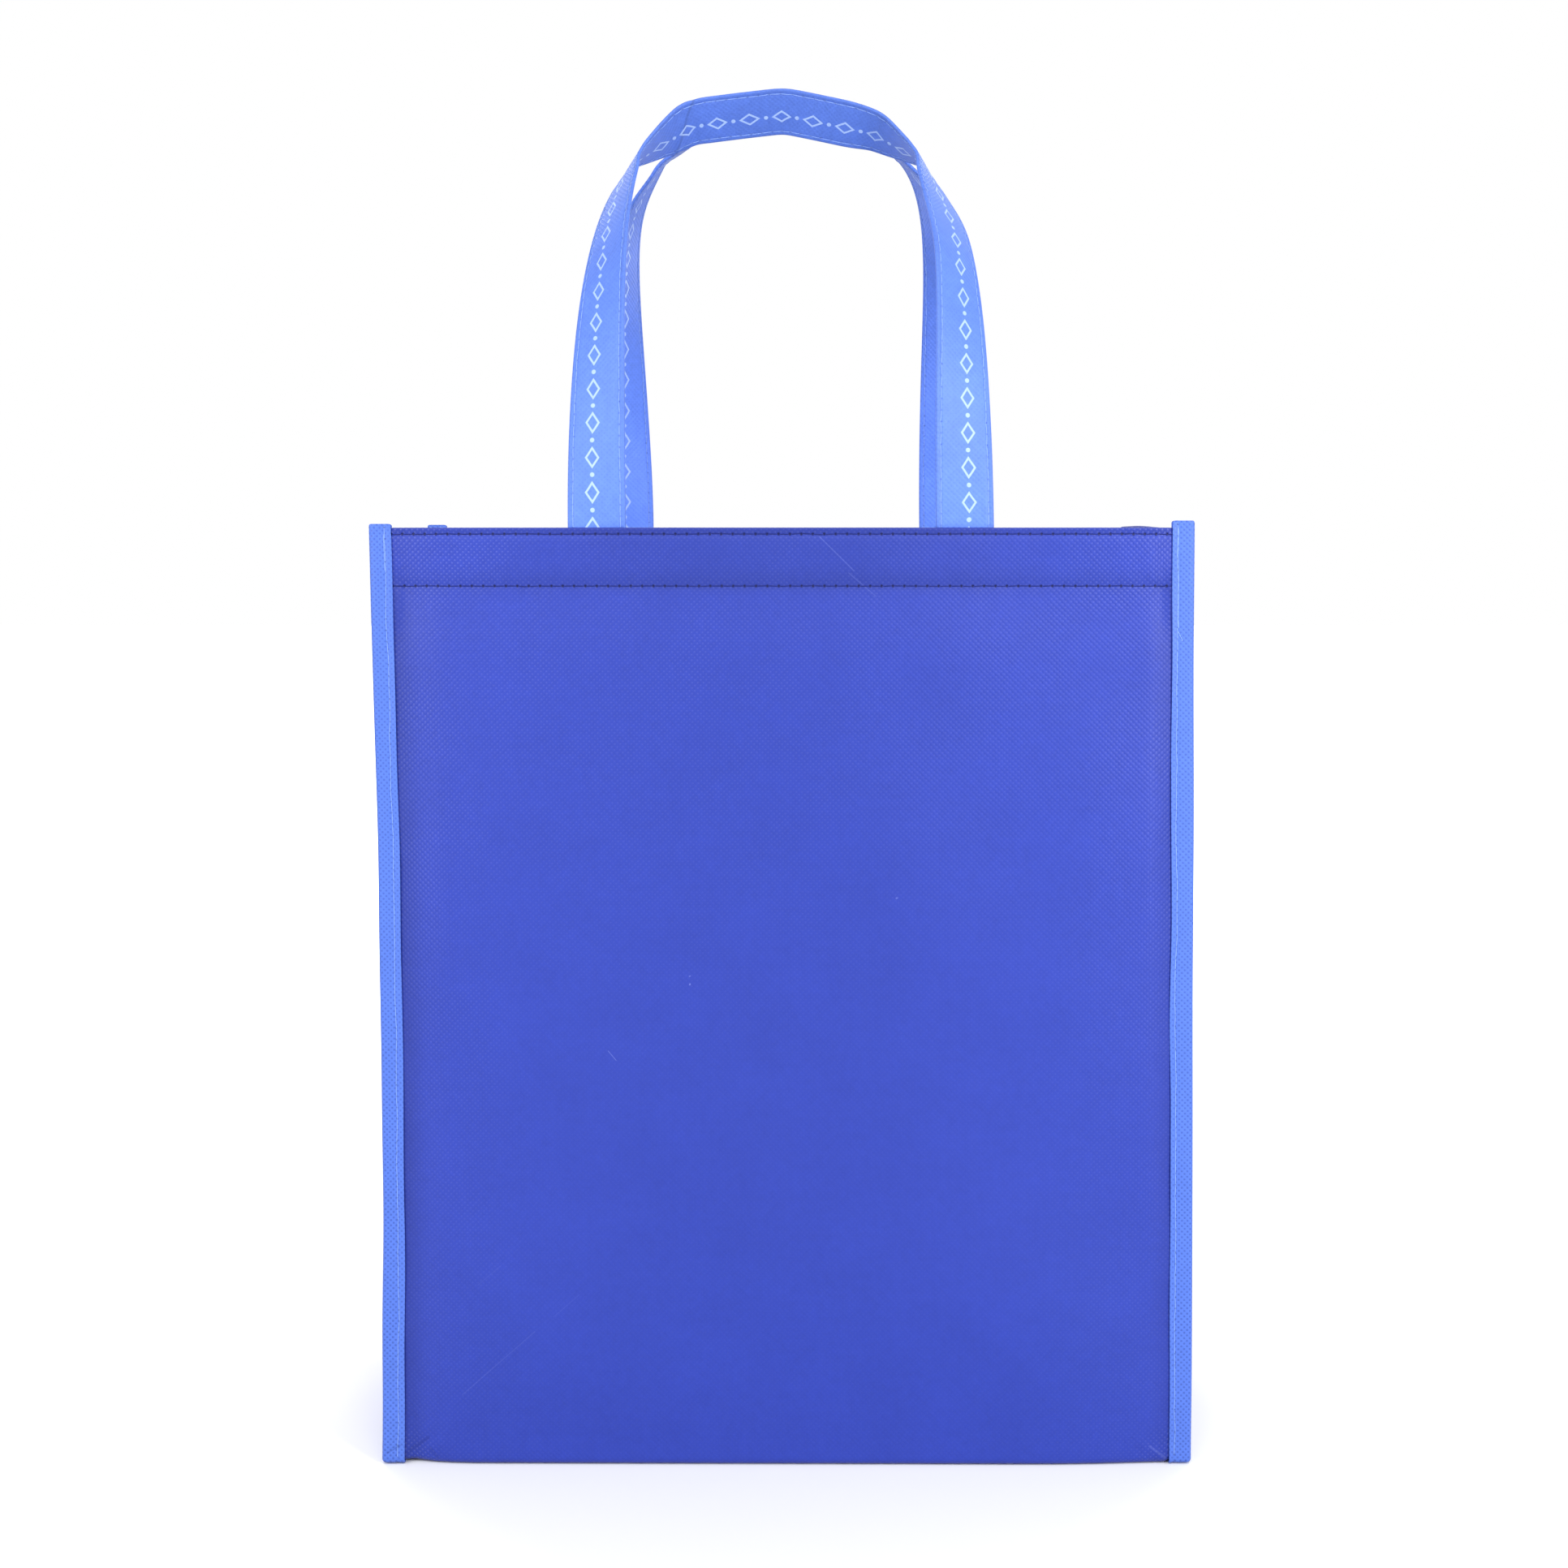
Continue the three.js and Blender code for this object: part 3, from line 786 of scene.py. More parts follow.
# The hem's own relief: it leans in down to the lower row, below which the cloth comes out again; each row
# lies in a groove with puckers beside it, and the edge of the layer inside shows as a small step
def hemRelief(across, drop, seed):
    low, edge = hem["rows"]["lower"], hem["depth"]
    lean = np.clip(drop / low, 0, 1) ** hem["leanPower"] * (1 - ease(drop, low, low + hem["recover"]))
    start, end = hem["stepEdge"]
    out = hem["step"] * (1 - ease(drop, edge + start, edge + end)) - hem["lean"] * lean
    ripple = uneven(across, drop * hem["puckerSkew"], seed, hem["puckerSpan"])
    for name, row in hem["rows"].items():
        out = out - hem["groove"][name] * bell(drop - row, hem["grooveWidth"][name])
        out = out + hem["pucker"] * bell(drop - row, hem["puckerWidth"]) * ripple
    return out


# The ends of the base
base = {
    "ramp": {-1: (-14.0, 0.0), 1: (-0.8, 2.2)},  # start and end, counted from the gusset
    "fadeUp": 70.0,
}


# The base's ends rise to the side seams, which lifts the foot of each wall there
def baseLift(x, z):
    start = bag["gussetX"]
    ramp = sum(ease(hand * x, start + low, start + high) for hand, (low, high) in base["ramp"].items())
    return bag["seamLift"] * ramp * (1 - ease(z, 0, base["fadeUp"]))


# Profile of half the main panel, from the hem's free edge over the mouth and down to the base:
# distance out from the bag's middle, height, and a share that is 1 on the layer turned in
def halfProfile():
    turn, radius = bag["hemLayers"] / 2, bag["foldRadius"]
    mouth, depth = bag["mouth"], bag["halfDepth"]
    inner = mouth - ladder([hem["depth"], *hem["innerStops"], turn], [1, 7, 5, 9])[:-1]
    bend = np.linspace(0, np.pi, 9)[:-1]
    stops = [turn, *hem["outerStops"], mouth - wall["footStop"], mouth - radius]
    fall = mouth - ladder(stops, [12, 5, 14, 66, 14])[:-1]
    corner = np.linspace(0, np.pi / 2, 9)
    out = np.concatenate([
        np.full(len(inner), depth - 2 * turn),
        depth - turn - turn * np.cos(bend),
        np.full(len(fall), depth),
        depth - radius + radius * np.cos(corner),
    ])
    up = np.concatenate([inner, mouth - turn + turn * np.sin(bend), fall, radius - radius * np.sin(corner)])
    layer = np.concatenate([np.ones(len(inner)), np.cos(bend) / 2 + 0.5, np.zeros(len(fall) + len(corner))])
    return out, up, layer


# The whole sheet: the front half profile, the base and the back half profile, carried across the width
def mainPanel():
    out, up, layer = halfProfile()
    under = np.linspace(-out[-1], out[-1], 24)[1:-1]
    profileY = np.concatenate([-out, under, out[::-1]])
    profileZ = np.concatenate([up, np.zeros(len(under)), up[::-1]])
    inHem = np.concatenate([layer, np.zeros(len(under)), layer[::-1]])
    along = runAlong(profileY, profileZ)
    inner, raw = bag["tapeInner"], bag["rawEdge"]
    near = inner - wall["seamStop"]
    columns = ladder([-raw, -inner, -near, near, inner, raw], [4, 20, 84, 20, 4])
    hemEnd = gussetLow[0] - bag["layerGap"]  # the layer turned in stops at the gusset
    z, x = np.meshgrid(profileZ, columns, indexing="ij")
    y = np.broadcast_to(profileY[:, None], x.shape)
    turned = ease(np.broadcast_to(inHem[:, None], x.shape), 0.4, 1.0)
    x = x * (1 - turned * (1 - hemEnd / raw))
    half = len(out)
    push = np.zeros_like(x)
    push[:half] = -wallOut(x[:half], z[:half], -1)
    push[-half:] = wallOut(x[-half:], z[-half:], 1)
    back = np.clip(y[half:-half] / out[-1] / 2 + 0.5, 0, 1)  # the base joins the two walls' feet
    flatX = x[half:-half]
    frontFoot, backFoot = (wallOut(flatX, flatX * 0, way) for way in (-1, 1))
    push[half:-half] = backFoot * back**2 - frontFoot * (1 - back) ** 2
    points = np.stack([x, y + push, z + baseLift(x, z)], -1).reshape(-1, 3)
    quads = gridFaces(np.arange(x.size).reshape(x.shape))
    clothMap = np.stack([x, np.broadcast_to(along[:, None], x.shape)], -1).reshape(-1, 2)
    seamMap = np.stack([x + bag["tapeInner"], bag["mouth"] - z], -1).reshape(-1, 2)
    maps = {"cloth": clothMap[quads], "seam": seamMap[quads]}
    piece = makePiece("main_panel_cloth", points, [quads], maps, panelCloth)
    thicken(piece, bag["cloth"])
    return piece, along[-1]


# The gussets: a centre crease that folds in from the mouth down, and splits towards the base's corners
side = {
    "bend": 1.0,  # radius between the web and its seam allowance
    "creaseHalf": 2.0,  # the mesh is finer this near to the centre crease
    "dent": 7.5,
    "dentPower": 1.2,
    "dentStart": 0.7,  # of the height where it parts
    "dentFull": 0.9,  # of the mouth's height
    "split": 74.0,  # height where the centre crease parts
    "sharp": 3.0,
    "ridge": 0.7,
    "ridgeSteep": 0.7,
    "ridgeWidth": 3.0,
    "ridgeUp": (4.0, 16.0),
    "ridgeEnd": (60.0, 80.0),
    "free": 14.0,  # from the edges
    "freeUp": (5.0, 30.0),
    "uneven": 0.5,
    "unevenSpan": 90.0,
    "seeds": {-1: 41, 1: 57},
}


# How far a gusset folds in: a V whose depth grows with height, two slanting creases below it,
# broad unevenness and the pull of the hem's stitches, all dying away at the edges
def gussetIn(y, z, hand):
    seed = side["seeds"][hand]
    edge = bag["halfDepth"] - bag["flange"]
    share = np.clip(1 - np.sqrt(y**2 + side["sharp"] ** 2) / edge, 0, 1)
    grown = ease(z, side["split"] * side["dentStart"], bag["mouth"] * side["dentFull"])
    into = side["dent"] * share ** side["dentPower"] * grown
    slant = (z - side["split"] * (1 - np.abs(y) / edge)) * side["ridgeSteep"]
    ridge = bell(slant, side["ridgeWidth"]) * ease(z, *side["ridgeUp"]) * (1 - ease(z, *side["ridgeEnd"]))
    into = into - side["ridge"] * ridge
    free = ease(edge - np.abs(y), 0, side["free"]) * ease(z, *side["freeUp"])
    into = into + side["uneven"] * free * uneven(y, z, seed, side["unevenSpan"])
    return into - free * hemRelief(y, bag["mouth"] - z, seed + 1)


# Web: a grid down the hem, over the mouth and down the side, its lower corners rounded by squeezing the
# square corner into a quarter disc. Seam allowance: a bend and a strip carried round the web's edge.
def gusset(hand):
    turn = bag["hemLayers"] / 2
    mouth, bend = bag["mouth"], side["bend"]
    centreY = bag["halfDepth"] - bag["foldRadius"]
    centreZ = bag["seamLift"] + bag["foldRadius"]
    radius = bag["foldRadius"] - bag["flange"] - bend
    inner = mouth - ladder([hem["depth"], *hem["innerStops"], turn], [1, 5, 5, 6])[:-1]
    arc = np.linspace(0, np.pi, 9)[:-1]
    stops = [mouth - drop for drop in (turn, *hem["outerStops"])]
    fall = ladder([*stops, centreZ, centreZ - radius], [8, 5, 9, 62, 4])
    rowX = np.concatenate([np.full(len(inner), -2 * turn), -turn - turn * np.cos(arc), np.zeros(len(fall))])
    rowZ = np.concatenate([inner, mouth - turn + turn * np.sin(arc), fall])
    reach, crease = centreY + radius, side["creaseHalf"]
    columns = ladder([-reach, -centreY, -crease, crease, centreY, reach], [4, 22, 4, 22, 4])
    z, y = np.meshgrid(rowZ, columns, indexing="ij")
    p = np.maximum(np.abs(y) - centreY, 0) / radius
    q = np.maximum(centreZ - z, 0) / radius
    webY = np.sign(y) * (np.minimum(np.abs(y), centreY) + radius * p * np.sqrt(1 - q**2 / 2))
    webZ = np.maximum(z, centreZ) - radius * q * np.sqrt(1 - p**2 / 2)
    into = gussetIn(webY, webZ, hand)
    webX = bag["gussetX"] + np.broadcast_to(rowX[:, None], y.shape) - into
    web = np.stack([webX, webY, webZ], -1)

    index = np.arange(y.size).reshape(y.shape)
    first = len(inner) + len(arc)
    loop = np.concatenate([index[first:, 0], index[-1, 1:], index[-2:first - 1:-1, -1]])
    start = web.reshape(-1, 3)[loop]
    centre = np.stack([np.clip(start[:, 1], -centreY, centreY), np.maximum(start[:, 2], centreZ)], -1)
    way = unit(start[:, 1:] - centre)
    angle = np.linspace(0, np.pi / 2, 5)[1:]
    strip = np.linspace(bend, bag["rawEdge"] - bag["gussetX"], 7)[1:]
    aside = np.concatenate([bend * np.sin(angle), np.full(len(strip), bend)])
    forth = np.concatenate([bend * (1 - np.cos(angle)), strip])
    flangeX = start[:, :1] + forth
    flangeYz = start[:, None, 1:] + way[:, None] * aside[:, None]
    flange = np.concatenate([flangeX[..., None], flangeYz], -1)
    more = y.size + np.arange(flangeX.size).reshape(flangeX.shape)
    ring = np.concatenate([loop[:, None], more], 1)

    quads = np.concatenate([gridFaces(index), gridFaces(ring)[:, ::-1]])
    points = np.concatenate([web.reshape(-1, 3), flange.reshape(-1, 3)])
    length = runAlong(rowX, rowZ)
    length = length - length[np.argmax(rowZ)]
    webMap = np.stack([webY, np.broadcast_to(length[:, None], y.shape)], -1).reshape(-1, 2)
    flangeMap = webMap[loop][:, None] + (way * [1, -1])[:, None] * (aside + forth)[:, None]
    clothMap = np.concatenate([webMap, flangeMap.reshape(-1, 2)])
    seamMap = np.full_like(clothMap, -50.0)  # no needle holes on the seam allowance
    seamMap[:y.size] = np.stack([webY + bag["halfDepth"], mouth - webZ], -1).reshape(-1, 2)
    if hand < 0:
        points = points * [-1, 1, 1]
        quads = quads[:, ::-1]
    maps = {"cloth": clothMap[quads], "seam": seamMap[quads]}
    piece = makePiece(f"{hands[hand]}_gusset_cloth", points, [quads], maps, panelCloth)
    thicken(piece, bag["cloth"])
    return piece


# The edge tapes: how they are cut and how they waver, in mm
tape = {
    "stand": {(-1, -1): 1.6, (1, -1): 3.0, (-1, 1): 3.6, (1, 1): -2.6},  # above the mouth, by hand and wall
    "cornerRadius": 1.2,
    "cornerFlare": 1.6,
    "turn": 1.5,  # radius round the corners of the base
    "spacing": 2.4,
    "finerTop": 1.2,  # the mesh is finer this near to the ends
    "finerFoot": 12.0,  # and this near to the front's foot
    "legStops": (0.0, 0.12, 0.5, 1.1, 1.7, 2.3, 2.9, 3.5, 4.1, 4.8, 5.6, 6.6, 7.5),  # of legSpan
    "legSpan": 8.25,
    "sharpAngle": 50.0,
    "wander": 0.14,  # of the stitches
    "rowShift": {-1: 0.0, 1: -0.7},
    "wanderSpan": 34.0,
    "backstitch": {-1: 20.0, 1: 46.0},  # sewn twice at the top of the front
    "backstitchAside": 0.42,
    "backstitchLength": 0.8,  # of a stitch
    "backstitchEnd": 1.0,  # these three from the tape's end
    "lastStitch": 0.8,
    "lastEven": 1.5,
    "waver": 0.16,
    "waverSpan": 70.0,
    "foldSpan": 98.0,
    "lip": 0.16,  # the free edge stands off by about this
    "lipUneven": 0.7,
    "lipSpan": 45.0,
    "lipWidth": 1.3,
    "press": 0.14,  # and the stitches press it in
    "pressWidth": 0.8,
    "mitre": {"start": (7.8, 4.6), "end": (2.0, 8.2), "depth": 0.34, "width": 0.65},  # (from edge, height)
    "seeds": {-1: 71, 1: 83},
}


# Route of a side seam in the (y, z) plane: down the back, along the base, up the front, with the way out
# of the bag at each station and the distance along
def seamRoute(hand):
    topFront, topBack = (bag["mouth"] + tape["stand"][hand, way] for way in (-1, 1))
    half, radius, spacing = bag["halfDepth"], tape["turn"], tape["spacing"]
    level = bag["seamLift"] + radius
    flat = half - radius
    upright = int((bag["mouth"] - level) / spacing)
    bend = np.linspace(0, np.pi / 2, 11)
    cosine, sine = np.cos(bend), np.sin(bend)
    down = ladder([topBack, topBack - tape["finerTop"], level], [6, upright])[:-1]
    across = np.linspace(flat, -flat, int(2 * flat / spacing))[1:-1]
    stops = [level, level + tape["finerFoot"], topFront - tape["finerTop"], topFront]
    up = ladder(stops, [20, upright, 6])[1:]
    back, under, front = np.ones(len(down)), np.ones(len(across)), np.ones(len(up))
    y = np.concatenate([half * back, flat + radius * cosine, across, -flat - radius * sine, -half * front])
    z = np.concatenate([down, level - radius * sine, (level - radius) * under, level - radius * cosine, up])
    outY = np.concatenate([back, cosine, 0 * under, -sine, -front])
    outZ = np.concatenate([0 * back, -sine, -under, -cosine, 0 * front])
    return y, z, outY, outZ, runAlong(y, z)


# How far the tape's stitches wander from their line
def tapeWander(run, hand):
    waves = uneven(run, run * 0, tape["seeds"][hand] + 5, tape["wanderSpan"])
    return tape["rowShift"][hand] + tape["wander"] * waves


# Shift of the tape's inner edge and of its fold along the seam
def tapeWaver(run, hand):
    seed = tape["seeds"][hand]
    inner = tape["waver"] * uneven(run, run * 0, seed, tape["waverSpan"])
    fold = tape["waver"] * uneven(run, run * 0, seed + 1, tape["foldSpan"])
    return inner, fold


# The crease where the left tape turns under the base: a bell of the distance to a line from edge to edge
def mitre(fromEdge, z):
    (edge, low), (edgeEnd, lowEnd) = tape["mitre"]["start"], tape["mitre"]["end"]
    across, rise = edgeEnd - edge, lowEnd - low
    share = np.clip(((fromEdge - edge) * across + (z - low) * rise) / (across**2 + rise**2), 0, 1)
    away = np.hypot(fromEdge - edge - across * share, z - low - rise * share)
    return tape["mitre"]["depth"] * bell(away, tape["mitre"]["width"])


# Tape section: a hairpin of two skins, the outer one round the fold at the full radius and the inner one a
# tape's thickness less, carried along the seam
def binding(hand):
    y, z, outY, outZ, run = seamRoute(hand)
    radius = (bag["tapeOut"] + bag["tapeIn"]) / 2
    middle = (bag["tapeIn"] - bag["tapeOut"]) / 2
    centreX = bag["tapeEdge"] - radius
    flat = centreX - bag["tapeInner"]
    leg = bag["tapeInner"] + flat * np.array(tape["legStops"]) / tape["legSpan"]
    bend = np.linspace(-np.pi / 2, np.pi / 2, 11)
    skins = []
    for depth in (0.0, bag["tape"]):
        skin = radius - depth
        sectionX = np.concatenate([leg, centreX + skin * np.cos(bend), leg[::-1]])
        ends = np.ones(len(leg))
        inset = np.concatenate([(middle - skin) * ends, middle + skin * np.sin(bend), (middle + skin) * ends])
        skins.append((sectionX, inset))
    fromEdge = skins[0][0] - bag["tapeInner"]
    outerHalf = np.where(np.arange(len(fromEdge)) < len(fromEdge) / 2, 1.0, -1.0)
    inner, fold = tapeWaver(run, hand)
    share = np.clip(fromEdge / flat, 0, 1)
    shift = inner[:, None] * (1 - share) + fold[:, None] * share
    toEnd = np.clip(1 - np.minimum(run, run[-1] - run) / tape["cornerRadius"], 0, 1)
    rounding = tape["cornerRadius"] * (1 - np.sqrt(1 - toEnd**2))
    shift = shift + rounding[:, None] * (1 - tape["cornerFlare"] * share)
    waves = uneven(run, run * 0, tape["seeds"][hand] + 2, tape["lipSpan"])
    lip = tape["lip"] * (1 + tape["lipUneven"] * waves)
    wander = tapeWander(run, hand)[:, None]
    pressed = tape["press"] * bell(fromEdge - (tapeRow + wander), tape["pressWidth"])
    offset = pressed - lip[:, None] * bell(fromEdge, tape["lipWidth"])
    if hand < 0:
        offset = offset + mitre(fromEdge, z[:, None]) * (outY[:, None] < -0.9)
    sheets = []
    for sectionX, inset in skins:
        depth = inset + offset * outerHalf
        sheetY, sheetZ = y[:, None] - outY[:, None] * depth, z[:, None] - outZ[:, None] * depth
        sheets.append(np.stack([sectionX + shift, sheetY, sheetZ], -1))
    points = np.concatenate([sheets[0], sheets[1][:, ::-1]], 1)
    rows, columns = points.shape[:2]
    index = np.arange(rows * columns).reshape(rows, columns)
    count = columns // 2
    caps = []
    for end in (index[0], index[-1]):
        skinA, skinB = end[:count], end[count:][::-1]
        caps.append(np.stack([skinA[:-1], skinA[1:], skinB[1:], skinB[:-1]], -1))
    caps[1] = caps[1][:, ::-1]
    points = points.reshape(-1, 3)
    if hand < 0:
        points = points * [-1, 1, 1]
    flatRun = runAlong(*skins[0])
    u = np.concatenate([flatRun, flatRun[::-1], flatRun[:1]])
    clothMap = np.stack(np.broadcast_arrays(u, run[:, None]), -1).reshape(-1, 2)
    seamAside = np.concatenate([fromEdge, fromEdge[::-1], fromEdge[:1]]) - wander
    seamMap = np.stack(np.broadcast_arrays(run[:, None], seamAside), -1).reshape(-1, 2)
    wide = gridFaces(np.arange(rows * (columns + 1)).reshape(rows, columns + 1))
    quads = np.concatenate([gridFaces(index, closed=True), *caps])
    corners = np.concatenate([wide, *(onMap(cap, columns) for cap in caps)])
    if signedVolume(points, quads) < 0:
        quads, corners = quads[:, ::-1], corners[:, ::-1]
    maps = {"cloth": clothMap[corners], "seam": seamMap[corners]}
    piece = makePiece(f"{hands[hand]}_binding_tape", points, [quads], maps, tapeCloth)
    piece.data.set_sharp_from_angle(angle=math.radians(tape["sharpAngle"]))
    return piece, (flatRun[-1] * mm, run[-1] * mm)


# The handles' slack curves: for each half its foot, its shoulder, the pulls of leg and arch, and where the
# arch keeps a fold (as shares of the way to the crown); for both halves their crown and the strap's turns
slack = {
    "front": {
        "left": {"spread": 79.0, "inset": 13.9, "fore": 19.1, "drop": 23.9, "way": (0.48, -0.475, 1.09),
                 "legUp": 119.0, "legPull": 23.3, "archPull": 11.5, "ease": 1.31, "folds": (0.46,)},
        "right": {"spread": 78.9, "inset": 13.9, "fore": 20.7, "drop": 23.5, "way": (0.385, -0.476, 1.14),
                  "legUp": 138.0, "legPull": 47.7, "archPull": 2.6, "ease": 1.23, "folds": (0.355, 0.948)},
        "crown": {"aside": -0.5, "rise": 190.2, "fore": 11.5, "level": 40.8, "legTurn": 81.5,
                  "archTurn": 51.0, "turnStart": 0.66, "turnEnd": 0.88},
    },
    "back": {
        "left": {"spread": 77.1, "inset": 22.4, "fore": 22.7, "drop": 21.3, "way": (0.52, -0.467, 0.62),
                 "legUp": 153.0, "legPull": 39.0, "archPull": 10.3, "ease": 0.86, "folds": (0.645,)},
        "right": {"spread": 80.2, "inset": 22.9, "fore": 22.1, "drop": 19.2, "way": (0.91, -0.448, 0.61),
                  "legUp": 98.5, "legPull": 36.8, "archPull": 10.7, "ease": 1.65, "folds": (0.566,)},
        "crown": {"aside": 0.8, "rise": 193.9, "fore": 9.4, "level": 37.8, "legTurn": 96.6,
                  "archTurn": 39.5, "turnStart": 0.8, "turnEnd": 1.0},
    },
}
handle = {
    "tuck": 26.0,
    "legTurnEnd": 0.74,
    "foldShare": 0.9,
    "soft": 5.0,
    "spacing": 1.45,
    "carried": 70.0,  # the walls' shape carries the legs along up to this height above the mouth
    "legPoints": 160,
    "archPoints": 120,
}


# Points of a path at the given distances along it
def pathAt(at, run, path):
    return np.stack([np.interp(at, run, path[:, i]) for i in range(3)], -1)


# Points at equal distances along a cubic curve, and its length
def cubic(a, b, c, d, count):
    t = np.linspace(0, 1, 800)[:, None]
    path = (1 - t) ** 3 * a + 3 * (1 - t) ** 2 * t * b + 3 * (1 - t) * t**2 * c + t**3 * d
    run = runAlong(*path.T)
    return pathAt(np.linspace(0, run[-1], count), run, path), run[-1]


# One half of a handle, drawn as a left one: an upright leg to the shoulder and an arch to the crown. The
# strap's way across turns by legTurn up the leg and by archTurn on the arch.
def halfHandle(face, word):
    curve, top = slack[face][word], slack[face]["crown"]
    fore = bag["halfDepth"] - bag["hemLayers"] - bag["layerGap"] - strap["thick"] / 2
    foot = np.array([-curve["spread"], fore, bag["mouth"]])
    aside = top["aside"] if word == "left" else -top["aside"]
    crown = np.array([aside, top["fore"], bag["mouth"] + top["rise"]])
    shoulder = np.array([curve["inset"] - curve["spread"], curve["fore"], crown[2] - curve["drop"]])
    way = unit(np.array(curve["way"]))
    legCount, archCount = handle["legPoints"], handle["archPoints"]
    legEnd, archStart = shoulder - way * curve["legPull"], shoulder + way * curve["archPull"]
    leg, legRun = cubic(foot, foot + [0, 0, curve["legUp"]], legEnd, shoulder, legCount)
    arch, archRun = cubic(shoulder, archStart, crown - [top["level"], 0, 0], crown, archCount)
    run = np.concatenate([np.linspace(0, legRun, legCount)[:-1], legRun + np.linspace(0, archRun, archCount)])
    share = run / run[-1]
    turn = math.radians(top["legTurn"]) * np.minimum(1, share / handle["legTurnEnd"]) ** curve["ease"]
    turn = turn + math.radians(top["archTurn"]) * ease(share, top["turnStart"], top["turnEnd"])
    folds = legRun + np.array([0, *curve["folds"]]) * archRun
    return np.concatenate([leg[:-1], arch]), run, turn, folds


# A running mean, twice over, that keeps the two ends in place
def soften(path, reach):
    kernel = np.ones(2 * reach + 1) / (2 * reach + 1)
    for _ in range(2):
        before, after = 2 * path[0] - path[reach:0:-1], 2 * path[-1] - path[-2:-reach - 2:-1]
        padded = np.concatenate([before, path, after])
        path = np.stack([np.convolve(padded[:, i], kernel, "valid") for i in range(3)], -1)
    return path


# Both halves end to end with their tucked ends. Between the folds the arch is pulled towards straight chords,
# then softened; the wall carries the tucked ends with it. Gives the path, its ways across and outward, and
# the run along it.
def handleRoute(face):
    out = outWays[face]
    path, run, turn, folds = halfHandle(face, "left")
    path2, run2, turn2, folds2 = halfHandle(face, "right")
    half, total = run[-1], run[-1] + run2[-1]
    tuck = handle["tuck"]
    ends = [path[0] - [0, 0, tuck], path2[0] * [-1, 1, 1] - [0, 0, tuck]]
    path = np.concatenate([ends[:1], path, path2[-2::-1] * [-1, 1, 1], ends[1:]])
    run = np.concatenate([[-tuck], run, total - run2[-2::-1], [total + tuck]])
    turn = np.concatenate([[0], turn, turn2[-2::-1], [0]])
    at = np.concatenate([folds, total - folds2[::-1]])
    chords = pathAt(run, at, pathAt(at, run, path))
    between = ((run > at[0]) & (run < at[-1]))[:, None]
    path = path + handle["foldShare"] * between * (chords - path)

    even = np.linspace(-tuck, total + tuck, int((total + 2 * tuck) / handle["spacing"]))
    path = soften(pathAt(even, run, path), round(handle["soft"] / handle["spacing"] / 2))
    turn = np.interp(even, run, turn)
    onLeft = (even < half)[:, None]
    asLeft = np.where(onLeft, [1, 1, 1], [1, -1, -1])
    ahead = unit(np.gradient(path, axis=0)) * asLeft
    across = unit(np.stack([ahead[:, 2], 0 * turn, -ahead[:, 0]], -1)) * np.cos(turn)[:, None]
    across[:, 1] = np.sin(turn)
    across = unit(across - ahead * (across * ahead).sum(1, keepdims=True))
    toFace = np.array([1, out, 1])
    ahead = ahead * asLeft * toFace
    across = across * np.where(onLeft, [1, 1, 1], [-1, 1, 1]) * toFace
    path = path * toFace
    low = np.minimum(path[:, 2], bag["mouth"])
    carried = 1 - ease(path[:, 2], bag["mouth"], bag["mouth"] + handle["carried"])
    path[:, 1] += out * wallOut(path[:, 0], low, out) * carried
    return path, across, np.cross(ahead, across) * out, even


# Half thickness across the strap: rounded edges, a groove under each stitch row, a soft pillow between
def strapHalf(a):
    past = np.clip((np.abs(a) - strap["width"] / 2 + strap["edge"]) / strap["edge"], 0, 1)
    thick = strap["thick"] / 2 * np.sqrt(1 - past**2)
    thick = thick - strap["groove"] * bell(np.abs(a) - strapRow, strap["grooveWidth"])
    return thick + strap["pillow"] * np.clip(1 - (a / strapRow) ** 2, 0, 1)


# The strap's outline: columns across its upper face, finer at the edges and rows, and the same below
def strapSection():
    edge, near = strap["width"] / 2, strap["rowHalf"]
    out = edge - strap["edge"] * (1 - np.sin(np.linspace(np.pi / 2, 0, 5)))
    stops = [edge - strap["edge"], strapRow + near, strapRow - near, strapRow - strap["pillowEdge"], 0]
    right = np.concatenate([out, ladder(stops, [2, 6, 2, 5])[1:]])
    a = np.concatenate([right, -right[-2::-1]])
    upper = np.stack([a, strapHalf(a)], -1)
    return np.concatenate([upper, (upper * [1, -1])[-2:0:-1]])


# How far a strap sinks in the crease at its left shoulder: a bell of the distance along to a slanting line
def strapCrease(run, aside):
    return strapFold["depth"] * bell(run - strapFold["at"] - strapFold["slant"] * aside, strapFold["width"])


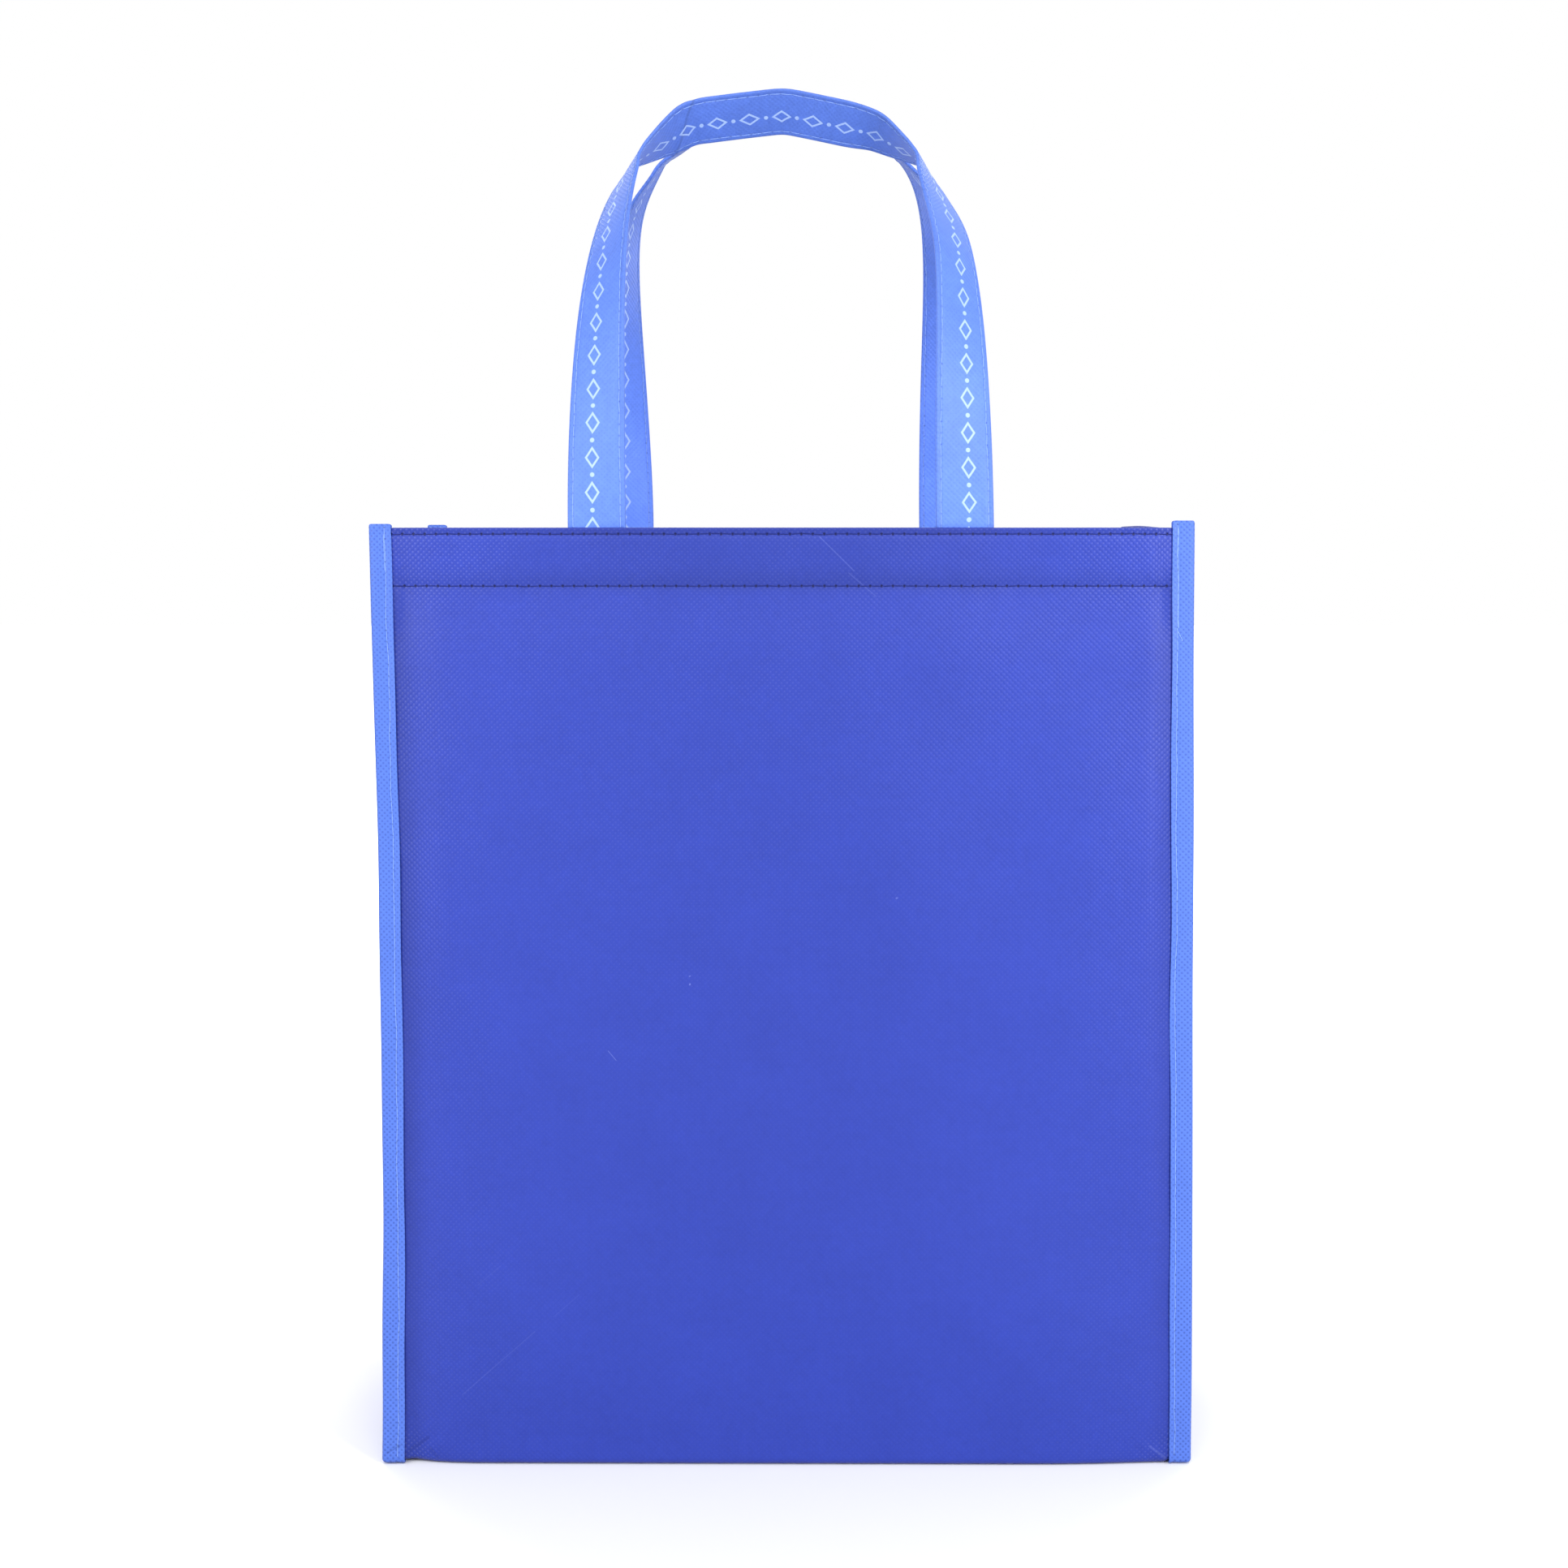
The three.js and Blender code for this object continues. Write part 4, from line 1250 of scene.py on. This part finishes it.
# The strap's section carried along the handle's route
def handlePiece(face):
    path, across, outward, run = handleRoute(face)
    section = strapSection()
    high = section[:, 1] - strapCrease(run[:, None], section[:, 0])
    points = path[:, None] + across[:, None] * section[:, :1] + outward[:, None] * high[..., None]
    rows, columns = points.shape[:2]
    index = np.arange(rows * columns).reshape(rows, columns)
    u = np.concatenate([section[:, 0], section[:1, 0]])
    clothMap = np.stack(np.broadcast_arrays(u, run[:, None]), -1).reshape(-1, 2)
    seamMap = clothMap[:, ::-1]
    count = columns // 2
    caps, tips = [], []
    for end, flip in ((index[0], 1), (index[-1], -1)):
        skinA, skinB = end[:count + 1], np.roll(end[::-1], 1)[:count + 1]
        cap = np.stack([skinA[:-1], skinA[1:], skinB[1:], skinB[:-1]], -1)[1:-1]
        caps.append(cap[:, ::flip])
        tips.append(end[np.array([[0, 1, -1], [count - 1, count, count + 1]])][:, ::flip])
    points = points.reshape(-1, 3)
    quads = np.concatenate([gridFaces(index, closed=True), *caps])
    wide = gridFaces(np.arange(rows * (columns + 1)).reshape(rows, columns + 1))
    corners = np.concatenate([wide, *(onMap(cap, columns) for cap in caps)])
    tips = np.concatenate(tips)
    tipCorners = onMap(tips, columns)
    if signedVolume(points, quads) < 0:
        quads, corners, tips, tipCorners = (part[:, ::-1] for part in (quads, corners, tips, tipCorners))
    flat = np.concatenate([corners.ravel(), tipCorners.ravel()])
    maps = {"cloth": clothMap[flat], "seam": seamMap[flat]}
    piece = makePiece(f"{face}_handle_strap", points, [quads, tips], maps, strapCloth)
    piece.data.set_sharp_from_angle(angle=math.radians(strap["sharpAngle"]))
    return piece, (strap["width"] * mm, (run[-1] - run[0]) * mm)


# Stitches. Each is a short tube from one needle hole to the next: its middle arches off the cloth by a sine,
# its ends dip in, and the tube thins towards them.
thread = {
    "hem": {"radius": 0.24, "rise": 0.6, "sink": 0.9},  # rise and sink in radii
    "trim": {"radius": 0.16, "rise": 0.8, "sink": 0.2},
    "strap": {"radius": 0.19, "rise": 0.8, "sink": 0.4},
    "rings": 5,
    "sides": 6,
    "archPower": 0.6,
    "endShare": 0.75,  # of the radius
    "jitter": 0.10,
    "seeds": {"wall": 100, "gusset": 150, "strap": 190},
}


def stitchTubes(holes, normals, kind):
    count = len(holes) - 1
    step = holes[1:] - holes[:-1]
    up = unit(normals[1:] + normals[:-1])
    aside = unit(np.cross(step, up))
    t = np.linspace(0, 1, thread["rings"])
    arch = np.sin(np.pi * t) ** thread["archPower"]
    size = thread[kind]["radius"]
    lift = size * (thread[kind]["rise"] * arch - thread[kind]["sink"] * (1 - arch))
    centre = holes[:-1, None] + step[:, None] * t[:, None] + up[:, None] * lift[:, None]
    radius = size * (thread["endShare"] + (1 - thread["endShare"]) * arch)
    angle = np.linspace(0, 2 * np.pi, thread["sides"], endpoint=False)
    ringWay = aside[:, None] * np.cos(angle)[:, None] + up[:, None] * np.sin(angle)[:, None]
    points = centre[:, :, None] + radius[:, None, None] * ringWay[:, None]
    index = np.arange(points[..., 0].size).reshape(points.shape[:3])
    closed = np.concatenate([index, index[:, :, :1]], 2)
    ring, following = closed[:, :-1], closed[:, 1:]
    quads = [ring[..., :-1], ring[..., 1:], following[..., 1:], following[..., :-1]]
    quads = np.stack(quads, -1).reshape(-1, 4)
    ends = np.concatenate([index[:, 0], index[:, -1, ::-1]])
    along = np.arange(count)[:, None, None] * stitch["length"] + (t * stitch["length"])[:, None]
    along = np.broadcast_to(along, (count, thread["rings"], thread["sides"]))
    around = np.broadcast_to(angle / (2 * np.pi), along.shape)
    threadMap = np.stack([along, around], -1).reshape(-1, 2)
    return points.reshape(-1, 3), quads, ends, threadMap


# One row of thread from several runs of holes, such as its two faces
def stitchRow(name, runs, kind):
    points, quads, ends, maps, total = [], [], [], [], 0
    for holes, normals in runs:
        somePoints, someQuads, someEnds, someMap = stitchTubes(holes, normals, kind)
        points.append(somePoints)
        quads.append(someQuads + total)
        ends.append(someEnds + total)
        maps.append(someMap)
        total += len(somePoints)
    points, quads, ends, maps = (np.concatenate(values) for values in (points, quads, ends, maps))
    corners = np.concatenate([maps[quads].reshape(-1, 2), maps[ends].reshape(-1, 2)])
    material = hemThread if kind == "hem" else trimThread
    return makePiece(name, points, [quads, ends], {"thread": corners}, material)


# Small random shifts of the needle holes
def jitter(count, seed):
    return thread["jitter"] * np.random.default_rng(seed).standard_normal(count)


# Hem stitches on a wall: needle holes at each stitch length across, on the outside and on the layer
# turned in, which the strap's tucked ends cover for their width
def wallHemRow(face, rowName):
    out = outWays[face]
    drop = hem["rows"][rowName]
    x = np.arange(0, 2 * bag["tapeInner"] + stitch["length"], stitch["length"]) - bag["tapeInner"]
    z = bag["mouth"] - drop + jitter(len(x), thread["seeds"]["wall"] + 10 * out + int(drop))
    offset = wallOut(x, z, out)
    outside = np.stack([x, out * (bag["halfDepth"] + offset), z], -1)
    feet = np.where(x < 0, slack[face]["left"]["spread"], slack[face]["right"]["spread"])
    tucked = np.abs(np.abs(x) - feet) < strap["width"] / 2 + strap["margin"]
    depth = bag["halfDepth"] - bag["hemLayers"] - tucked * (bag["layerGap"] + strap["thick"])
    inside = np.stack([x, out * (depth + offset), z], -1)
    normal = np.tile([0.0, out, 0.0], (len(x), 1))
    runs = [(outside, normal), (inside, -normal)]
    return stitchRow(f"{face}_hem_stitches_{rowName}", runs, "hem")


# The same on a gusset, between the tapes
def gussetHemRow(hand, rowName):
    drop = hem["rows"][rowName]
    first = math.ceil(bag["tapeIn"] / stitch["length"]) * stitch["length"]
    y = np.arange(first, 2 * bag["halfDepth"] - bag["tapeIn"], stitch["length"]) - bag["halfDepth"]
    z = bag["mouth"] - drop + jitter(len(y), thread["seeds"]["gusset"] + hand + int(drop))
    into = gussetIn(y, z, hand)
    outside = np.stack([hand * (bag["gussetX"] - into), y, z], -1)
    inside = outside - [hand * bag["hemLayers"], 0, 0]
    normal = np.tile([float(hand), 0, 0], (len(y), 1))
    runs = [(outside, normal), (inside, -normal)]
    return stitchRow(f"{hands[hand]}_gusset_stitches_{rowName}", runs, "hem")


# Tape stitches follow the seam's route on the tape's two faces, twice over at the top of the front. The right
# seam ends there in a loose thread, given as (aside, distance from the end).
looseEnd = [(-0.3, -46.0), (0.2, -47.4), (0.9, -48.6), (1.3, -49.8), (1.9, -50.6), (2.1, -51.6)]


def bindingRow(hand):
    y, z, outY, outZ, run = seamRoute(hand)
    end, length, last = run[-1], stitch["length"], tape["lastStitch"]
    at = np.concatenate([[last], np.arange(length, end - tape["lastEven"], length), [end - last]])
    shorter = length * tape["backstitchLength"]
    again = np.arange(end - tape["backstitch"][hand], end - tape["backstitchEnd"], shorter)
    sewn = [(at, 0.0, 1), (at, 0.0, -1), (again, tape["backstitchAside"], 1)]
    routes = [(where, aside + jitter(len(where), tape["seeds"][hand] + number), way)
              for number, (where, aside, way) in enumerate(sewn)]
    if hand > 0:
        aside, fromEnd = np.array(looseEnd).T
        routes.append((end + fromEnd, aside, 1))
    runs = []
    for where, aside, way in routes:
        depth = tape["press"] - bag["tapeOut"] if way > 0 else bag["tapeIn"] - tape["press"]
        atY, atZ, wayY, wayZ = (np.interp(where, run, values) for values in (y, z, outY, outZ))
        x = bag["tapeInner"] + tapeRow + tapeWaver(where, hand)[0] + tapeWander(where, hand) + aside
        holes = np.stack([hand * x, atY - wayY * depth, atZ - wayZ * depth], -1)
        runs.append((holes, way * np.stack([0 * where, wayY, wayZ], -1)))
    return stitchRow(f"{hands[hand]}_binding_stitches", runs, "trim")


# Strap stitches run beside an edge on both faces of the free strap
def handleRow(face, edge):
    path, across, outward, run = handleRoute(face)
    aside = strapRow if edge == "inner" else -strapRow
    free = run[-1] - handle["tuck"]
    at = np.append(np.arange(0, free - strap["lastStep"], stitch["length"]), free)
    path, across, outward = (pathAt(at, run, values) for values in (path, across, outward))
    line = aside + jitter(len(at), thread["seeds"]["strap"] + len(edge) + len(face))
    half, sunk = strapHalf(np.array(aside)), strapCrease(at, aside)
    runs = []
    for way in (1, -1):
        high = (way * half - sunk)[:, None]
        runs.append((path + across * line[:, None] + outward * high, outward * way))
    return stitchRow(f"{face}_handle_stitches_{edge}", runs, "strap")


# A plain pale floor and soft studio light
studio = {
    "floorSize": 12.0,
    "floorLevel": -0.0003,
    "paperNear": 0.35,  # past this the floor brightens into the white backdrop
    "paperFar": 1.1,
    "floorSeen": (0.98, 0.98, 0.98, 1),
    "floorBounce": (0.66, 0.66, 0.67, 1),
    "ambient": 0.55,
    "lamps": {
        "left_box": {"place": (-0.70, -0.80, 0.55), "size": (0.35, 0.5), "power": 4.0},
        "right_box": {"place": (0.66, -0.84, 0.55), "size": (0.35, 0.5), "power": 6.3},
        "key_box": {"place": (0.0, -2.5, 3.0), "size": (2.2, 1.6), "power": 43.0},
        "rear_left_box": {"place": (-0.95, 1.1, 0.75), "size": (0.6, 0.8), "power": 5.0},
        "rear_right_box": {"place": (0.95, 1.1, 0.75), "size": (0.6, 0.8), "power": 5.0},
        "rear_box": {"place": (0.0, 2.5, 3.0), "size": (2.2, 1.6), "power": 50.0},
    },
    "aim": (0.0, 0.0, 0.26),
}


# The floor is paler to the camera than to the cloth that it lights, and fades into the white world
def makeStudio():
    mesh = bpy.data.meshes.new("floor")
    size, level = studio["floorSize"], studio["floorLevel"]
    corners = [(-size, -size, level), (size, -size, level), (size, size, level), (-size, size, level)]
    mesh.from_pydata(corners, [], [(0, 1, 2, 3)])
    floor = bpy.data.objects.new("floor", mesh)
    bpy.context.scene.collection.objects.link(floor)
    material, tree, shader = newMaterial("floorPaint")
    seen = tree.nodes.new("ShaderNodeLightPath").outputs["Is Camera Ray"]
    paint = mixedColour(tree, seen, studio["floorBounce"], studio["floorSeen"])
    tree.links.new(paint, shader.inputs["Base Color"])
    shader.inputs["Roughness"].default_value = 1.0
    shader.inputs["Specular IOR Level"].default_value = 0.0
    place = tree.nodes.new("ShaderNodeTexCoord").outputs["Object"]
    away = vectorCalc(tree, "LENGTH", place, result="Value")
    far = fade(tree, away, studio["paperNear"], studio["paperFar"])
    tree.links.new(product(tree, far, seen), shader.inputs["Emission Strength"])
    shader.inputs["Emission Color"].default_value = (1, 1, 1, 1)
    mesh.materials.append(material)

    world = bpy.data.worlds.new("studio")
    bpy.context.scene.world = world
    world.use_nodes = True
    tree = world.node_tree
    back = tree.nodes["Background"]
    seen = tree.nodes.new("ShaderNodeLightPath").outputs["Is Camera Ray"]
    back.inputs["Color"].default_value = (1, 1, 1, 1)
    strength = calc(tree, "MULTIPLY_ADD", seen, 1 - studio["ambient"], studio["ambient"])
    tree.links.new(strength, back.inputs["Strength"])

    aim = np.array(studio["aim"])
    for name, lamp in studio["lamps"].items():
        data = bpy.data.lights.new(name, "AREA")
        data.shape = "RECTANGLE"
        data.size, data.size_y = lamp["size"]
        data.energy = lamp["power"]
        box = bpy.data.objects.new(name, data)
        box.location = lamp["place"]
        forward = unit(aim - np.array(lamp["place"]))
        box.rotation_euler = (math.acos(-forward[2]), 0, math.atan2(forward[0], -forward[1]) + math.pi)
        box.visible_camera = False
        bpy.context.scene.collection.objects.link(box)

    bpy.context.scene.view_settings.view_transform = "Standard"
    bpy.context.scene.view_settings.look = "None"
    return floor


makeCamera()
floor = makeStudio()
print("camera and studio ready")


# Hides the node whose place a piece takes, and gives back the piece
def takesPlace(piece, node):
    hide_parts(node)
    return piece


panel, panelLength = mainPanel()
takesPlace(panel, "main_panel")
print("main panel made,", round(panelLength), "mm of cloth")

gussets, tapes, handles, cuts, tapeRows, strapRows, hemRows = {}, {}, {}, {}, {}, {}, {}
for hand, word in hands.items():
    gussets[word] = takesPlace(gusset(hand), f"{word}_gusset")
    tapes[word], cuts[word] = binding(hand)
    takesPlace(tapes[word], f"{word}_binding")
    tapeRows[word] = takesPlace(bindingRow(hand), f"{word}_binding_thread")
    hemRows[word] = [takesPlace(gussetHemRow(hand, row), f"{word}_gusset_thread_{row}")
                     for row in hem["rows"]]
print("gussets and tapes made")

for face in outWays:
    handles[face], cuts[face] = handlePiece(face)
    takesPlace(handles[face], f"{face}_handle")
    strapRows[face] = [takesPlace(handleRow(face, edge), f"{face}_handle_thread_{edge}")
                       for edge in ("inner", "outer")]
    hemRows[face] = [takesPlace(wallHemRow(face, row), f"{face}_hem_thread_{row}")
                     for row in hem["rows"]]
print("handles and hems sewn")
